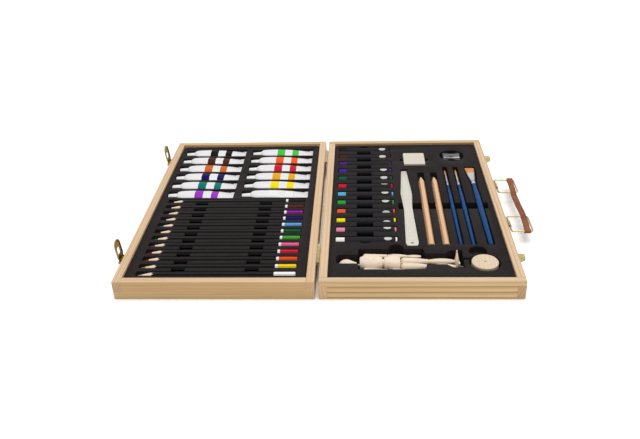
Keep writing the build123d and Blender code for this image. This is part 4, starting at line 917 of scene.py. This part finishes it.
# Eraser, sharpener and palette knife
bevelled("eraser", [eraser_white], 0.6, "eraser", segments=3)
bevelled("sharpener_body", [sharpener_metal], 0.3, "aluminium")
bevelled("sharpener_blade", [steel], 0.1, "steel")
paint_node("sharpener_screw", steel)
bevelled("palette_knife", [knife_grey], 0.5, "knife")

RIB_LINE = ((-16, 3.7), (-30, 4.3), (-55, 5.1), (-78, 5.7), (-90, 5.6), (-96, 4.6))
RIB_HALF, RIB_END_HALF = 0.55, 0.15


def make_knife_ribs():
    """Two moulded ribs along the knife's handle, which run out at their ends."""
    build = Builder()
    knife_x, _, _ = middle("palette_knife")
    _, _, top = box("palette_knife")[1]
    for side in (-1, 1):
        rings = []
        for i, (y, u) in enumerate(RIB_LINE):
            x = knife_x + side * u
            half = RIB_HALF if 0 < i < len(RIB_LINE) - 1 else RIB_END_HALF
            arch = [(x + half * cos(a), y, top - 0.1 + 0.75 * half * sin(a)) for a in spaced(0, pi, 7)]
            rings.append(arch + [(x - half, y, top - 0.6), (x + half, y, top - 0.6)])
        build.loft(rings, caps=(0, 0))
    build.finish("knife_ribs", [knife_grey], "palette_knife", "knife", sharp=50, replaces=False)


make_knife_ribs()

# Jointed figure
for node in nodes:
    if node.startswith("manikin_"):
        paint_node(node, beech_disc if node == "manikin_base" else beech)
paint_node("manikin_rod", steel)

# Floor, light and background. The floor is a little brighter to the camera, so that it meets the
# white background without a seam and still keeps the shadow.
FLOOR_HALF, FLOOR_Z, FLOOR_GLOW = 6.0, -0.0003, 0.12     # metres, metres, emission strength
WORLD_LIGHT, WORLD_SEEN = 0.5, 1.0
SUN_ENERGY, SUN_ANGLE, SUN_FROM = 1.95, radians(50), (0.1, 0.0, 1.0)


def make_floor():
    s = Surface("floor", (0.93, 0.93, 0.93), 0.9, specular=0.1)
    plain = s.ramp(s.noise(even(30.0), detail=2.0), [(0.0, (0.91, 0.91, 0.91)), (1.0, (0.93, 0.93, 0.93))])
    seen = s.node("LightPath").outputs["Is Camera Ray"]
    s.into("Base Color", s.mix(seen, plain, (1.0, 1.0, 1.0)))
    s.into("Emission Color", (1, 1, 1, 1))
    s.into("Emission Strength", s.math("MULTIPLY", seen, FLOOR_GLOW))
    mesh = bpy.data.meshes.new("floor")
    corners = [(-FLOOR_HALF, -FLOOR_HALF, 0), (FLOOR_HALF, -FLOOR_HALF, 0), (FLOOR_HALF, FLOOR_HALF, 0),
               (-FLOOR_HALF, FLOOR_HALF, 0)]
    mesh.from_pydata(corners, [], [(0, 1, 2, 3)])
    mesh.materials.append(s.material)
    floor = bpy.data.objects.new("floor", mesh)
    scene.collection.objects.link(floor)
    floor.location.z = FLOOR_Z


def make_world():
    """A plain white world, at full level where it is seen or mirrored and lower where it lights."""
    world = bpy.data.worlds.new("world")
    scene.world = world
    world.use_nodes = True
    sky = Nodes(world.node_tree)
    path = sky.node("LightPath").outputs
    seen = sky.math("MAXIMUM", path["Is Camera Ray"], path["Is Transmission Ray"])
    seen = sky.math("MAXIMUM", seen, path["Is Glossy Ray"])
    level = sky.node("MapRange", {"Value": seen, "To Min": WORLD_LIGHT, "To Max": WORLD_SEEN})
    background = world.node_tree.nodes["Background"]
    sky.feed(background.inputs["Strength"], level.outputs[0])
    sky.feed(background.inputs["Color"], (1, 1, 1, 1))


def make_sun():
    data = bpy.data.lights.new("sky", "SUN")
    data.angle = SUN_ANGLE
    data.energy = SUN_ENERGY
    lamp = bpy.data.objects.new("sky", data)
    lamp.rotation_euler = Vector(SUN_FROM).to_track_quat("Z", "Y").to_euler()
    scene.collection.objects.link(lamp)


make_floor()
make_world()
make_sun()
scene.view_settings.view_transform = "Standard"
